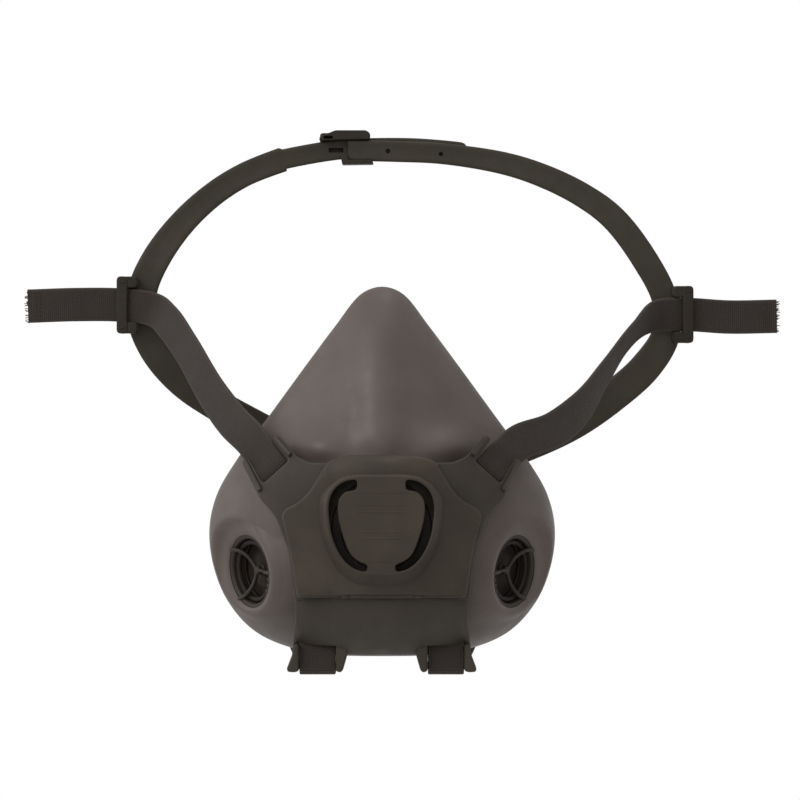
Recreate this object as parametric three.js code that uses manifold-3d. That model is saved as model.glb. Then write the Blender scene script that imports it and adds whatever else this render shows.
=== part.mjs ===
// Half-face respirator: soft facepiece, rigid yoke with a drop-down latch cover over the exhalation
// valve, two bayonet cartridge ports, webbing straps, a moulded head cradle and a neck strap.
// Millimetres. +Z is up, the front looks along -Y and the wearer's left is +X.
// The origin is the middle of the face seal.

import * as THREE from "three";
import { mergeVertices } from "three/addons/utils/BufferGeometryUtils.js";
import Module from "manifold-3d";

const wasm = await Module();
wasm.setup();

// ---------------------------------------------------------------- driving dimensions

const GAP = 0.3;
const SIDES = [["left", 1], ["right", -1]];

// facepiece
const WALL = 2.3;
const FACE_CENTRE_Z = -8;
const FACE_FRONT_Y = -64;
const SEAL_WIDTH = 10;
const FACE_OUTLINE = [
  [0, 77], [9, 74.6], [19.5, 63], [31, 45], [42, 29], [51, 15.5], [58, 3],
  [61.7, -9], [61.8, -22], [57, -35.5], [46.5, -47], [28, -53.6], [0, -55],
];
const OUTLINE_STEPS = 44;
const DOME_STEPS = 7;

// yoke and apron
const YOKE_Y = -72.5;
const YOKE_SIDE_RADIUS = 58;
const YOKE_WALL = 2;
const SKIRT_DEPTH = 4.5;
const YOKE_HALF_WIDTH = 52;
const YOKE_TOP = 26;
const YOKE_BOTTOM = -54;
const APRON_STEP = 1.3;
const SEAM_Z = -32;

// latch cover and its hinge
const COVER_Y = -75.8;
const COVER_SIDE_RADIUS = 75;
const HINGE_Y = -72.6;
const HINGE_Z = -31;
const BARREL_RADIUS = 1.5;
const BARREL_HALF = 11;
const EAR_RADIUS = 1.15;
const EAR_WIDTH = 2.6;
const PIN_RADIUS = 0.75;
const BOSS_Y = -80;
const GRILLE_WALL = 2;
const COVER_BOTTOM = -31.9;
const COVER_HALF_WIDTH = 38;
const TOP_BRIDGE = 8.3;
const BOTTOM_BRIDGE = 4.2;
const BOSS_HALF_WIDTH = 22;
const BOSS_BOTTOM = -26;
const BOSS_TOP = 11;

// exhalation valve, on an axis along Y through the middle of the dome
const ADAPTER_RADIUS = 17.2;
const ADAPTER_BORE = 14.6;
const ADAPTER_FRONT = 69.9;
const ADAPTER_BACK = 54.9;
const EXHALE_RADIUS = 14.2;
const SEAT_BORE = 12.8;
const SEAT_WALL = 1.5;

// cartridge ports
const PORT_CENTRE = [46.5, -44.5, -24];
const PORT_ANGLE = THREE.MathUtils.degToRad(55);
const PORT_DROP = -0.1;
const PORT_RADIUS = 14;
const PORT_BORE = 11.5;
const PORT_FLANGE = 16.2;
const SPOKE_ANGLES = [38, 180, 306];
const LUG_ANGLES = [100, 220, 340];

// webbing
const WEBBING = 12.7;
const WEB_THICKNESS = 1.3;
const LOOP_X = 22.5;
const BAR_Y = -53;
const BAR_Z = -56.6;
const BAR_RADIUS = 1.3;
const BAR_HALF = 8.2;
const LUG_FROM = 6.9;
const LUG_TO = 8.6;
const LUG_BOTTOM = -58.7;

// head cradle
const CRADLE_THICKNESS = 1.8;

// ---------------------------------------------------------------- materials

const silicone = new THREE.MeshStandardMaterial({ color: 0x675e58, roughness: 0.55, metalness: 0 });
const yokePlastic = new THREE.MeshStandardMaterial({ color: 0x3f3c33, roughness: 0.5, metalness: 0 });
const coverPlastic = new THREE.MeshStandardMaterial({ color: 0x403b32, roughness: 0.5, metalness: 0 });
const portPlastic = new THREE.MeshStandardMaterial({ color: 0x4a433c, roughness: 0.5, metalness: 0 });
const cradlePlastic = new THREE.MeshStandardMaterial({ color: 0x34322d, roughness: 0.5, metalness: 0 });
const bucklePlastic = new THREE.MeshStandardMaterial({ color: 0x28211e, roughness: 0.45, metalness: 0 });
const webbing = new THREE.MeshStandardMaterial({ color: 0x4a403f, roughness: 0.9, metalness: 0 });
const valveRubber = new THREE.MeshStandardMaterial({ color: 0x8a857c, roughness: 0.6, metalness: 0 });
const gasketRubber = new THREE.MeshStandardMaterial({ color: 0x2c2a28, roughness: 0.7, metalness: 0 });
const steel = new THREE.MeshStandardMaterial({ color: 0x9a9a98, roughness: 0.35, metalness: 1 });

const respirator = new THREE.Group();

// ---------------------------------------------------------------- solids and joins

// A closed three.js geometry becomes a solid that can be joined and cut.
function solid(geometry) {
  const bare = geometry.index ? geometry.clone() : geometry;
  bare.deleteAttribute("normal");
  bare.deleteAttribute("uv");
  const merged = mergeVertices(bare, 1e-4);
  return new wasm.Manifold(new wasm.Mesh({
    numProp: 3,
    vertProperties: new Float32Array(merged.attributes.position.array),
    triVerts: new Uint32Array(merged.index.array),
  }));
}

function add(name, body, material) {
  const mesh = body.getMesh();
  const geometry = new THREE.BufferGeometry();
  geometry.setAttribute("position", new THREE.BufferAttribute(mesh.vertProperties, 3));
  geometry.setIndex(new THREE.BufferAttribute(mesh.triVerts, 1));
  geometry.computeVertexNormals();
  const piece = new THREE.Mesh(geometry, material);
  piece.name = name;
  respirator.add(piece);
}

function join(...bodies) {
  return bodies.reduce((whole, body) => whole.add(body));
}

// ---------------------------------------------------------------- shapes

// A polygon in the XZ plane with its corners rounded.
function roundedShape(points, radius) {
  const shape = new THREE.Shape();
  points.forEach((point, i) => {
    const here = new THREE.Vector2(...point);
    const before = new THREE.Vector2(...points[(i + points.length - 1) % points.length]);
    const after = new THREE.Vector2(...points[(i + 1) % points.length]);
    const cut = Math.min(radius, here.distanceTo(before) * 0.45, here.distanceTo(after) * 0.45);
    const start = here.clone().add(before.sub(here).setLength(cut));
    const end = here.clone().add(after.sub(here).setLength(cut));
    if (i === 0) shape.moveTo(start.x, start.y);
    else shape.lineTo(start.x, start.y);
    shape.quadraticCurveTo(here.x, here.y, end.x, end.y);
  });
  shape.closePath();
  return shape;
}

// Right-hand points, given from the top centre down, are mirrored to a whole outline.
function mirrored(points) {
  const left = points.filter(([x]) => x > 0).map(([x, z]) => [-x, z]).reverse();
  return [...points, ...left];
}

// The shape lies in the XZ plane and is extruded from front to back along Y.
function prism(shape, front, back, curveSegments = 4) {
  const geometry = new THREE.ExtrudeGeometry(shape, {
    depth: back - front, bevelEnabled: false, curveSegments,
  });
  geometry.rotateX(Math.PI / 2);
  geometry.translate(0, back, 0);
  return solid(geometry);
}

function box(x0, x1, y0, y1, z0, z1) {
  const geometry = new THREE.BoxGeometry(x1 - x0, y1 - y0, z1 - z0);
  geometry.translate((x0 + x1) / 2, (y0 + y1) / 2, (z0 + z1) / 2);
  return solid(geometry);
}

// A sheet whose front and back are height fields over the XZ plane.
function slab(front, back, halfWidth, bottom, top, columns, rows) {
  const geometry = new THREE.BoxGeometry(2 * halfWidth, 2, top - bottom, columns, 1, rows);
  geometry.translate(0, 0, (top + bottom) / 2);
  const position = geometry.attributes.position;
  for (let i = 0; i < position.count; i += 1) {
    const x = position.getX(i);
    const z = position.getZ(i);
    position.setY(i, position.getY(i) < 0 ? front(x, z) : back(x, z));
  }
  return solid(geometry);
}

// Rings of equal length are joined in turn, and the two end rings are closed with fans.
function loft(rings) {
  const count = rings[0].length;
  const positions = rings.flat().flatMap((p) => [p.x, p.y, p.z]);
  const index = [];
  for (let r = 0; r + 1 < rings.length; r += 1) {
    for (let i = 0; i < count; i += 1) {
      const a = r * count + i;
      const b = r * count + ((i + 1) % count);
      index.push(a, b, a + count, b, b + count, a + count);
    }
  }
  for (const [ring, last] of [[0, false], [rings.length - 1, true]]) {
    const middle = new THREE.Vector3();
    rings[ring].forEach((p) => middle.addScaledVector(p, 1 / count));
    const hub = positions.length / 3;
    positions.push(middle.x, middle.y, middle.z);
    for (let i = 0; i < count; i += 1) {
      const a = ring * count + i;
      const b = ring * count + ((i + 1) % count);
      index.push(...(last ? [a, b, hub] : [b, a, hub]));
    }
  }
  const geometry = new THREE.BufferGeometry();
  geometry.setAttribute("position", new THREE.Float32BufferAttribute(positions, 3));
  geometry.setIndex(signedVolume(positions, index) < 0 ? index.reverse() : index);
  return solid(geometry);
}

function signedVolume(positions, index) {
  const corner = (i) => new THREE.Vector3(...positions.slice(3 * i, 3 * i + 3));
  let volume = 0;
  for (let t = 0; t < index.length; t += 3) {
    volume += corner(index[t]).dot(corner(index[t + 1]).cross(corner(index[t + 2]))) / 6;
  }
  return volume;
}

// A flat strap along a curve. Each station gives a point, the direction across and the width.
function strap(stations, thickness, steps) {
  const route = new THREE.CatmullRomCurve3(stations.map((s) => new THREE.Vector3(...s.at)));
  const across = new THREE.CatmullRomCurve3(stations.map((s) => new THREE.Vector3(...s.across)));
  const widths = new THREE.CatmullRomCurve3(stations.map((s) => new THREE.Vector3(s.width ?? WEBBING)));
  const rings = [];
  for (let i = 0; i <= steps; i += 1) {
    const t = i / steps;
    const along = route.getTangent(t);
    const side = across.getPoint(t);
    side.addScaledVector(along, -side.dot(along)).setLength(widths.getPoint(t).x / 2);
    const out = new THREE.Vector3().crossVectors(along, side).setLength(thickness / 2);
    const centre = route.getPoint(t);
    rings.push([[1, 1], [-1, 1], [-1, -1], [1, -1]].map(([a, b]) => (
      centre.clone().addScaledVector(side, a).addScaledVector(out, b)
    )));
  }
  return loft(rings);
}

// A ring or disc about an axis: radii and stations along the axis, from a closed profile.
function turned(profile, segments = 32) {
  const points = profile.map(([r, s]) => new THREE.Vector2(r, s));
  const geometry = new THREE.LatheGeometry([...points, points[0].clone()], segments);
  return solid(geometry);
}

function tube(inner, outer, from, to, segments = 24) {
  return turned([[inner, from], [outer, from], [outer, to], [inner, to]], segments);
}

function rod(radius, from, to, segments = 16) {
  const geometry = new THREE.CylinderGeometry(radius, radius, to - from, segments);
  geometry.translate(0, (from + to) / 2, 0);
  return solid(geometry);
}

// ---------------------------------------------------------------- facepiece form

// Angle of an outline point round the dome's middle: 0 at the nose, pi at the chin.
function roundAngle(point) {
  return Math.atan2(Math.abs(point.x), point.y - FACE_CENTRE_Z);
}

// The widest edge, the rim that meets the face, and the fullness of the dome at an angle.
function widestY(angle) {
  return -27 - Math.cos(angle) - 2 * Math.cos(2 * angle);
}

function rimY(angle) {
  return 1.5 - 11 * Math.cos(angle) - 10.5 * Math.cos(2 * angle);
}

function fullness(angle) {
  return 1.9 - 0.35 * Math.cos(angle);
}

// The outline runs once round from the nose, through the chin on its way.
function faceOutline() {
  const points = mirrored(FACE_OUTLINE).map(([x, z]) => new THREE.Vector3(x, z, 0));
  const curve = new THREE.CatmullRomCurve3(points, true);
  return Array.from({ length: OUTLINE_STEPS }, (_, i) => curve.getPointAt(i / OUTLINE_STEPS));
}

// One ring of the dome: the outline scaled towards the middle, inset and set at its height.
function faceRing(outline, scale, inset, height) {
  return outline.map((point) => {
    const angle = roundAngle(point);
    const reach = Math.hypot(point.x, point.y - FACE_CENTRE_Z);
    const size = scale * (1 - inset / reach);
    return new THREE.Vector3(
      point.x * size,
      height(angle),
      FACE_CENTRE_Z + (point.y - FACE_CENTRE_Z) * size,
    );
  });
}

function domeRings(outline, inset) {
  const rings = [];
  for (let i = 1; i <= DOME_STEPS; i += 1) {
    const scale = Math.sin((Math.PI / 2) * (i / DOME_STEPS));
    rings.push(faceRing(outline, scale, inset, (angle) => {
      const power = fullness(angle);
      const rise = (1 - scale ** power) ** (1 / power);
      return widestY(angle) + (FACE_FRONT_Y + inset - widestY(angle)) * rise;
    }));
  }
  return rings;
}

// The outer form, grown by an amount, as one filled solid down to its widest edge.
function filledDome(growth) {
  return loft([
    ...domeRings(faceOutline(), -growth),
    faceRing(faceOutline(), 1, -growth, rimY),
  ]);
}

// ---------------------------------------------------------------- placing round the ports

// Along a port's axis, local +Y points out of the port and local +X to the outer side.
// The ports are mirror images, so each piece is placed on the right and mirrored for the left.
function atPort(body, side) {
  const outward = new THREE.Vector3(-Math.sin(PORT_ANGLE), -Math.cos(PORT_ANGLE), PORT_DROP);
  outward.normalize();
  const up = new THREE.Vector3(0, 0, 1).addScaledVector(outward, -outward.z).normalize();
  const lateral = new THREE.Vector3().crossVectors(outward, up);
  const matrix = new THREE.Matrix4().makeBasis(lateral, outward, up);
  matrix.setPosition(-PORT_CENTRE[0], PORT_CENTRE[1], PORT_CENTRE[2]);
  const placed = body.transform(matrix.elements);
  return side < 0 ? placed : placed.mirror([1, 0, 0]);
}

// The valve's local +Y points forward, out of the mask.
function atValve(body) {
  const matrix = new THREE.Matrix4().makeRotationX(Math.PI);
  matrix.setPosition(0, 0, FACE_CENTRE_Z);
  return body.transform(matrix.elements);
}

// ---------------------------------------------------------------- facepiece

function facepiece() {
  const outline = faceOutline();
  const rise = (share) => (angle) => widestY(angle) + share * (rimY(angle) - widestY(angle));
  const back = (offset) => (angle) => rimY(angle) + offset;
  const shell = loft([
    ...domeRings(outline, 0),
    faceRing(outline, 1, 0.8, rise(0.5)),
    faceRing(outline, 1, 3.2, back(0)),
    faceRing(outline, 1, 3.2 + SEAL_WIDTH, back(-2.5)),
    faceRing(outline, 1, 3.2 + SEAL_WIDTH, back(-4.1)),
    faceRing(outline, 1, 5.4, back(-2.2)),
    faceRing(outline, 1, 0.8 + WALL, rise(0.5)),
    ...domeRings(outline, WALL).reverse(),
  ]);
  let body = shell;
  for (const [, side] of SIDES) {
    const collar = tube(PORT_RADIUS + GAP, 20, -7, -4.5);
    const pocket = rod(PORT_FLANGE + 1, -4.5, 25, 32);
    const inside = rod(PORT_FLANGE + 0.4, -30, -7, 32);
    const hole = rod(PORT_RADIUS + GAP, -30, 25, 32);
    body = join(body, atPort(collar, side));
    for (const cut of [pocket, inside, hole]) body = body.subtract(atPort(cut, side));
  }
  return body.subtract(atValve(rod(ADAPTER_RADIUS + GAP, 50, 80, 32)));
}

// ---------------------------------------------------------------- yoke

function yokeFront(x, z) {
  const crown = z > 0 ? z * z / 200 : 0;
  const below = Math.max(0, SEAM_Z - z);
  const step = z < SEAM_Z ? APRON_STEP : 0;
  return YOKE_Y + x * x / (2 * YOKE_SIDE_RADIUS) + crown + step + below * below / 30;
}

const YOKE_OUTLINE = mirrored([
  [12, 17.4], [22.6, 14.9], [30, 19], [37.6, 24], [39.8, 22.4], [32.4, 15.4],
  [41.6, 7.2], [47, 16.4], [49.4, 14.8], [42.6, 2], [37, -4], [32.4, -16], [30.2, -30],
  [30, -40], [31.6, -52.7],
]);

// The skirt behind the yoke's edge is what this outline leaves of the sheet's own.
const YOKE_HOLLOW = mirrored([
  [10, 15.4], [22.4, 12.8], [30.6, 13.4], [39.8, 5], [46, -2], [46, -56],
]);

// Outlines run clockwise, so the outward normal lies to the left of each edge.
function inset(outline, amount) {
  const points = outline.map(([x, z]) => new THREE.Vector2(x, z));
  return points.map((here, i) => {
    const before = here.clone().sub(points[(i + points.length - 1) % points.length]).normalize();
    const after = points[(i + 1) % points.length].clone().sub(here).normalize();
    const normal = new THREE.Vector2(-before.y - after.y, before.x + after.x).normalize();
    const stretch = 1 / Math.max(0.5, normal.dot(new THREE.Vector2(-before.y, before.x)));
    return [here.x - normal.x * amount * stretch, here.y - normal.y * amount * stretch];
  });
}

function yoke() {
  const outer = prism(roundedShape(YOKE_OUTLINE, 1.2), -90, -30);
  const sheetBack = (x, z) => yokeFront(x, z) + YOKE_WALL;
  const skirtBack = (x, z) => yokeFront(x, z) + SKIRT_DEPTH;
  const top = (front, back) => slab(front, back, YOKE_HALF_WIDTH, SEAM_Z, YOKE_TOP, 16, 7);
  const low = (front, back) => slab(front, back, YOKE_HALF_WIDTH, YOKE_BOTTOM, SEAM_Z - 1e-3, 16, 4);
  const sheet = join(top(yokeFront, sheetBack), low(yokeFront, sheetBack)).intersect(outer);
  const ring = outer.subtract(prism(roundedShape(YOKE_HOLLOW, 1), -91, -29));
  const skirt = join(top(yokeFront, skirtBack), low(yokeFront, skirtBack)).intersect(ring);
  const ribFront = (x, z) => yokeFront(x, z) + 1;
  const ribBack = (x, z) => yokeFront(x, z) + 3.6;
  const hingeRib = slab(ribFront, ribBack, 16, HINGE_Z - 3.2, HINGE_Z + 3, 6, 2);
  let body = join(sheet, skirt, hingeRib);
  body = body.subtract(filledDome(0.5));
  body = body.subtract(atValve(rod(ADAPTER_RADIUS + GAP, 40, 90, 32)));
  for (const [, side] of SIDES) {
    const inner = box(LOOP_X - LUG_TO, LOOP_X - LUG_FROM, -59.5, BAR_Y + 2, LUG_BOTTOM, -50);
    const outerLug = box(LOOP_X + LUG_FROM, LOOP_X + LUG_TO, -58.2, BAR_Y + 2.6, LUG_BOTTOM, -50);
    const bar = rod(BAR_RADIUS, -BAR_HALF, BAR_HALF).rotate([0, 0, 90]).translate([LOOP_X, BAR_Y, BAR_Z]);
    const loop = join(inner, outerLug, bar);
    body = body.add(side > 0 ? loop : loop.mirror([1, 0, 0]));
    body = body.subtract(strapPassage(side));
    body = body.subtract(bottomPassage(side));
  }
  const trough = rod(BARREL_RADIUS + 0.4, -BARREL_HALF - GAP, BARREL_HALF + GAP);
  const mouth = box(-BARREL_HALF - GAP, BARREL_HALF + GAP, -80, HINGE_Y, HINGE_Z - 1.9, HINGE_Z + 1.9);
  body = body.subtract(alongHinge(trough)).subtract(mouth);
  for (const [, side] of SIDES) body = body.add(hingeEar(side));
  return body.subtract(alongHinge(rod(PIN_RADIUS + 0.2, -19, 19, 16)));
}

// A turned piece is laid along the cover's hinge.
function alongHinge(body) {
  return body.rotate([0, 0, 90]).translate([0, HINGE_Y, HINGE_Z]);
}

// One of the two small ears that hold the ends of the hinge pin, standing off the yoke.
function hingeEar(side) {
  const from = BARREL_HALF + 0.4;
  const knuckle = alongHinge(rod(EAR_RADIUS, from, from + EAR_WIDTH, 16));
  const [low, high] = [HINGE_Z - EAR_RADIUS, HINGE_Z + EAR_RADIUS];
  const root = box(-from - EAR_WIDTH, -from, HINGE_Y, HINGE_Y + 3, low, high);
  const ear = knuckle.add(root);
  return side < 0 ? ear : ear.mirror([1, 0, 0]);
}

// The room in the cover for an ear, open to the back and downwards for the cover's swing.
function earPocket(side) {
  const from = BARREL_HALF + 0.1;
  const to = BARREL_HALF + 0.7 + EAR_WIDTH;
  const reach = EAR_RADIUS + 0.25;
  const pocket = alongHinge(rod(reach, from, to, 16))
    .add(box(-to, -from, HINGE_Y, -60, HINGE_Z - 3, HINGE_Z + reach));
  return side < 0 ? pocket : pocket.mirror([1, 0, 0]);
}

// The webbing enters the yoke between the two ribs of each wing.
function strapPassage(side) {
  const passage = solid(new THREE.BoxGeometry(WEBBING + 0.9, 5, 16));
  return passage
    .rotate([0, side * 41, 0])
    .translate([side * 37.4, yokeFront(37, 12) + YOKE_WALL + 2.5, 11.8]);
}

function bottomPassage(side) {
  const x0 = LOOP_X - 6.8;
  const x1 = LOOP_X + 6.8;
  const passage = box(x0, x1, yokeFront(LOOP_X, -52) + YOKE_WALL - 0.6, -40, -56, -48);
  return side > 0 ? passage : passage.mirror([1, 0, 0]);
}

// ---------------------------------------------------------------- latch cover

function coverFront(x, z) {
  const crown = z > 0 ? z * z / 200 : 0;
  return COVER_Y + x * x / (2 * COVER_SIDE_RADIUS) + crown;
}

function coverBack(x, z) {
  return yokeFront(x, Math.max(z, SEAM_Z)) - 0.5;
}

const COVER_OUTLINE = mirrored([
  [12, 17.2], [18.2, 15.8], [26.6, 2.2], [35.2, -2], [32, -14], [29.2, COVER_BOTTOM],
]);
const BOSS_OUTLINE = mirrored([[17.4, 9.3], [19.4, 2], [12.6, -24.6]]);
const PLATE_OUTLINE = mirrored([[13.6, 5.6], [15.4, 1.4], [9.6, -21]]);

function latchCover() {
  const rim = roundedShape(BOSS_OUTLINE, 5);
  const slotOuter = roundedShape(inset(BOSS_OUTLINE, 0.9), 4.4);
  const panel = slab(coverFront, coverBack, COVER_HALF_WIDTH, COVER_BOTTOM, 18, 12, 7);
  const bossSlab = (front, back) => slab(front, back, BOSS_HALF_WIDTH, BOSS_BOTTOM, BOSS_TOP, 6, 6);
  const cavityBack = (x, z) => coverBack(x, z) + 4;
  let body = panel.intersect(prism(roundedShape(COVER_OUTLINE, 1.5), -90, -50));
  body = body.add(bossSlab(() => BOSS_Y, coverBack).intersect(prism(rim, -90, -60)));
  const cavity = bossSlab(() => BOSS_Y + GRILLE_WALL, cavityBack);
  body = body.subtract(cavity.intersect(prism(roundedShape(inset(BOSS_OUTLINE, 1.8), 4), -90, -60)));
  const slots = prism(slotOuter, -81, BOSS_Y + GRILLE_WALL + 0.5)
    .subtract(prism(roundedShape(PLATE_OUTLINE, 4), -82, -70));
  const topBridge = box(-TOP_BRIDGE, TOP_BRIDGE, -83, -70, 0, 12);
  const bottomBridge = box(-BOTTOM_BRIDGE, BOTTOM_BRIDGE, -83, -70, -28, -10);
  body = body.subtract(slots.subtract(topBridge).subtract(bottomBridge));
  for (const [, side] of SIDES) body = body.subtract(earPocket(side));
  const barrel = alongHinge(rod(BARREL_RADIUS, -BARREL_HALF, BARREL_HALF));
  const web = box(-BARREL_HALF, BARREL_HALF, -74, HINGE_Y, HINGE_Z - 0.9, HINGE_Z + BARREL_RADIUS);
  body = join(body, barrel, web);
  return body.subtract(alongHinge(rod(PIN_RADIUS + GAP, -14.5, 14.5, 16)));
}

function hingePin() {
  return alongHinge(rod(PIN_RADIUS, -13.8, 13.8, 16));
}

// ---------------------------------------------------------------- exhalation valve and its seat

function spokes(angles, hub, reach, width, from, to) {
  const arms = angles.map((angle) => {
    const geometry = new THREE.BoxGeometry(reach, to - from, width);
    geometry.translate(reach / 2, (from + to) / 2, 0);
    geometry.rotateY(THREE.MathUtils.degToRad(-angle));
    return solid(geometry);
  });
  return join(rod(hub, from, to), ...arms);
}

function centreAdapter() {
  const wall = tube(ADAPTER_BORE, ADAPTER_RADIUS, ADAPTER_BACK, ADAPTER_FRONT);
  const outerFlange = tube(ADAPTER_BORE, ADAPTER_RADIUS + 1.6, 65, 66.2);
  const innerFlange = tube(ADAPTER_BORE, 20, ADAPTER_BACK, ADAPTER_BACK + 1.7);
  const seat = tube(SEAT_BORE, ADAPTER_BORE + 0.5, ADAPTER_FRONT - SEAT_WALL, ADAPTER_FRONT);
  const web = spokes([90, 210, 330], 3.2, ADAPTER_BORE + 0.5, 2, ADAPTER_FRONT - SEAT_WALL, ADAPTER_FRONT);
  return atValve(join(wall, outerFlange, innerFlange, seat, web).subtract(rod(1.4, 50, 80)));
}

// The flap rests just clear of its seat, on a stem that passes through the hub.
function exhalationValve() {
  const rest = ADAPTER_FRONT + GAP;
  const disc = rod(EXHALE_RADIUS, rest, rest + 0.9, 36);
  const stem = rod(1, rest - 4, rest + 0.1);
  const bulb = turned([[0, rest - 6], [2.1, rest - 4.6], [0.9, rest - 3.4], [0, rest - 3.4]], 20);
  return atValve(join(disc, stem, bulb));
}

// ---------------------------------------------------------------- cartridge ports

function portBody() {
  const wall = tube(PORT_BORE, PORT_RADIUS, -9, 0);
  const outerFlange = tube(PORT_BORE, PORT_FLANGE, -4.2, -3);
  const innerFlange = tube(PORT_BORE, PORT_FLANGE, -8.5, -7.3);
  const web = spokes(SPOKE_ANGLES, 2.6, PORT_BORE + 0.5, 2, -5, -3);
  const post = rod(0.9, -9, -4);
  const lugs = LUG_ANGLES.map((angle) => {
    const lug = new THREE.BoxGeometry(2.6, 1.7, 9);
    lug.translate(PORT_RADIUS + 0.6, -1.3, 0);
    lug.rotateY(THREE.MathUtils.degToRad(-angle));
    return solid(lug);
  });
  return join(wall, outerFlange, innerFlange, web, post, ...lugs);
}

function inhalationValve() {
  return tube(1.3, PORT_BORE - 0.7, -6.1, -5.3);
}

function portGasket() {
  return tube(9.4, PORT_BORE - GAP, -2.7, -1.2);
}

// ---------------------------------------------------------------- webbing

// Webbing hidden between the yoke and the facepiece, from each wing down to its bottom loop.
function strapRun(side) {
  const lie = YOKE_WALL + 0.9 + WEB_THICKNESS / 2;
  const slope = (x) => x / YOKE_SIDE_RADIUS;
  const points = [
    [33.4, 7, 0.74, -0.68], [30.6, 1, 0.93, -0.36], [27.4, -8, 1, -0.12],
    [25.8, -20, 1, -0.05], [24.2, -34, 1, -0.08], [22.8, -46.5, 1, 0],
  ];
  return strap(points.map(([x, z, a, b]) => ({
    at: [side * x, yokeFront(x, z) + lie + (z < -30 ? 0.5 : 0), z],
    across: [side * a, slope(x) * a, b],
  })), WEB_THICKNESS, 14);
}

const UPPER_STRAPS = {
  left: [
    { at: [48.4, -48, 21.6], across: [-0.7, -0.3, 0.65] },
    { at: [60.7, -37, 25.8], across: [-0.6, -0.25, 0.74] },
    { at: [72.2, -18, 34.3], across: [-0.4, -0.35, 0.84] },
    { at: [82, 4, 46], across: [-0.12, -0.42, 0.88] },
    { at: [93.2, 26, 59.6], across: [-0.15, -0.2, 0.95] },
    { at: [101.5, 39, 67], across: [-0.1, 0, 0.99] },
    { at: [114.5, 44.5, 68.8], across: [0, 0, 1] },
    { at: [149, 46, 68.2], across: [0, 0, 1] },
  ],
  right: [
    { at: [-46, -48.5, 22.4], across: [0.7, -0.3, 0.65] },
    { at: [-52.8, -38, 28.7], across: [0.7, -0.2, 0.7] },
    { at: [-61.7, -18, 39.4], across: [0.55, -0.2, 0.8] },
    { at: [-71.9, 8, 54.9], across: [0.46, -0.2, 0.86] },
    { at: [-80.2, 27, 65.6], across: [0.42, 0, 0.9] },
    { at: [-87.3, 41.4, 70.8], across: [0.3, 0, 0.95] },
    { at: [-99, 44.5, 72.4], across: [0, 0, 1] },
    { at: [-134.4, 46, 72], across: [0, 0, 1] },
  ],
};

// Each neck strap wraps under its loop's bar and runs back to the clip behind the neck.
function neckStrap(side) {
  const wrapRadius = BAR_RADIUS + 0.4 + WEB_THICKNESS / 2;
  const wrap = [200, 230, 255].map((degrees) => {
    const angle = THREE.MathUtils.degToRad(degrees);
    return {
      at: [side * LOOP_X, BAR_Y + wrapRadius * Math.cos(angle), BAR_Z + wrapRadius * Math.sin(angle)],
      across: [side, 0, 0],
    };
  });
  const back = [
    [22.6, -46, -59.6, 1, 0], [22.8, -30, -60, 1, 0], [25, -4, -59.4, 1, 0.12], [32, 26, -51, 0.8, 0.6],
    [36, 50, -42, 0.3, 0.95], [31, 68, -37.5, 0, 1], [15, 78, -36, 0, 1],
  ].map(([x, y, z, a, b]) => ({ at: [side * x, y, z], across: [side * a, 0, b] }));
  return strap([...wrap, ...back], WEB_THICKNESS, 84);
}

// The clip behind the neck: a tongue in a socket.
function neckClipTongue() {
  const body = box(1, 14, 75.2, 80.8, -43.5, -28.5);
  const slot = box(9.4, 13, 70, 90, -42.8, -29.2);
  const tongue = box(-8, 2, 77.2, 78.8, -40, -32);
  return join(body.subtract(slot), tongue);
}

function neckClipSocket() {
  const body = box(-14, -1, 75.2, 80.8, -43.5, -28.5);
  const slot = box(-13, -9.6, 70, 90, -42.8, -29.2);
  const pocket = box(-8.6, 0, 76.7, 79.3, -40.6, -31.4);
  const window = box(-7.6, -3.4, 79, 90, -38.6, -33.4);
  return body.subtract(slot).subtract(pocket).subtract(window);
}

// ---------------------------------------------------------------- head cradle

const CRADLE = [
  [31, 57.9, 133.2, 7.2], [10, 57.9, 133.4, 7.4], [-17, 57.2, 132, 7.6], [-38, 55.6, 128.2, 8.6],
  [-53, 53.8, 122.2, 9], [-65, 52, 114.4, 9.4], [-76.6, 50.6, 103.4, 9.8], [-85.4, 49.4, 90.4, 10.2],
  [-90.4, 48.9, 79, 10.6], [-91.8, 48.9, 67.4, 10.6], [-86.6, 50, 54.6, 10.6], [-76.6, 52, 43.2, 10.4],
  [-63, 55, 33.6, 10.2], [-45, 58.6, 22.8, 10], [-20, 61.6, 11, 10], [6.4, 62.6, 6.7, 10],
  [32, 61.6, 10, 10], [54.4, 58.6, 18.6, 10.2], [72, 55, 28, 10.4], [86.4, 52, 38.2, 10.6],
  [99.8, 49.8, 49.4, 10.6], [107.4, 48.9, 61.4, 10.6], [106.8, 48.9, 74.6, 10.6],
  [99.4, 49.4, 89.6, 10.2], [87.4, 50.6, 105.6, 9.8], [75.4, 52, 114.6, 9.4],
  [60.4, 53.4, 122, 9], [45.4, 54.6, 126.8, 8.6], [22, 55, 130.4, 8], [4, 55, 131.2, 8],
  [-10.4, 55, 131.5, 8],
];
const CRADLE_MIDDLE = [8, 72];

function headCradle() {
  return strap(CRADLE.map(([x, y, z, width]) => ({
    at: [x, y, z],
    across: [(x - CRADLE_MIDDLE[0]) / 97, 0, (z - CRADLE_MIDDLE[1]) / 64],
    width,
  })), CRADLE_THICKNESS, 84);
}

function crownBuckle() {
  const body = box(-25, -12, 52, 61, 125.2, 138.8);
  const passage = box(-26, -11, 53.6, 59.6, 126.6, 137.4);
  return body.subtract(passage);
}

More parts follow.
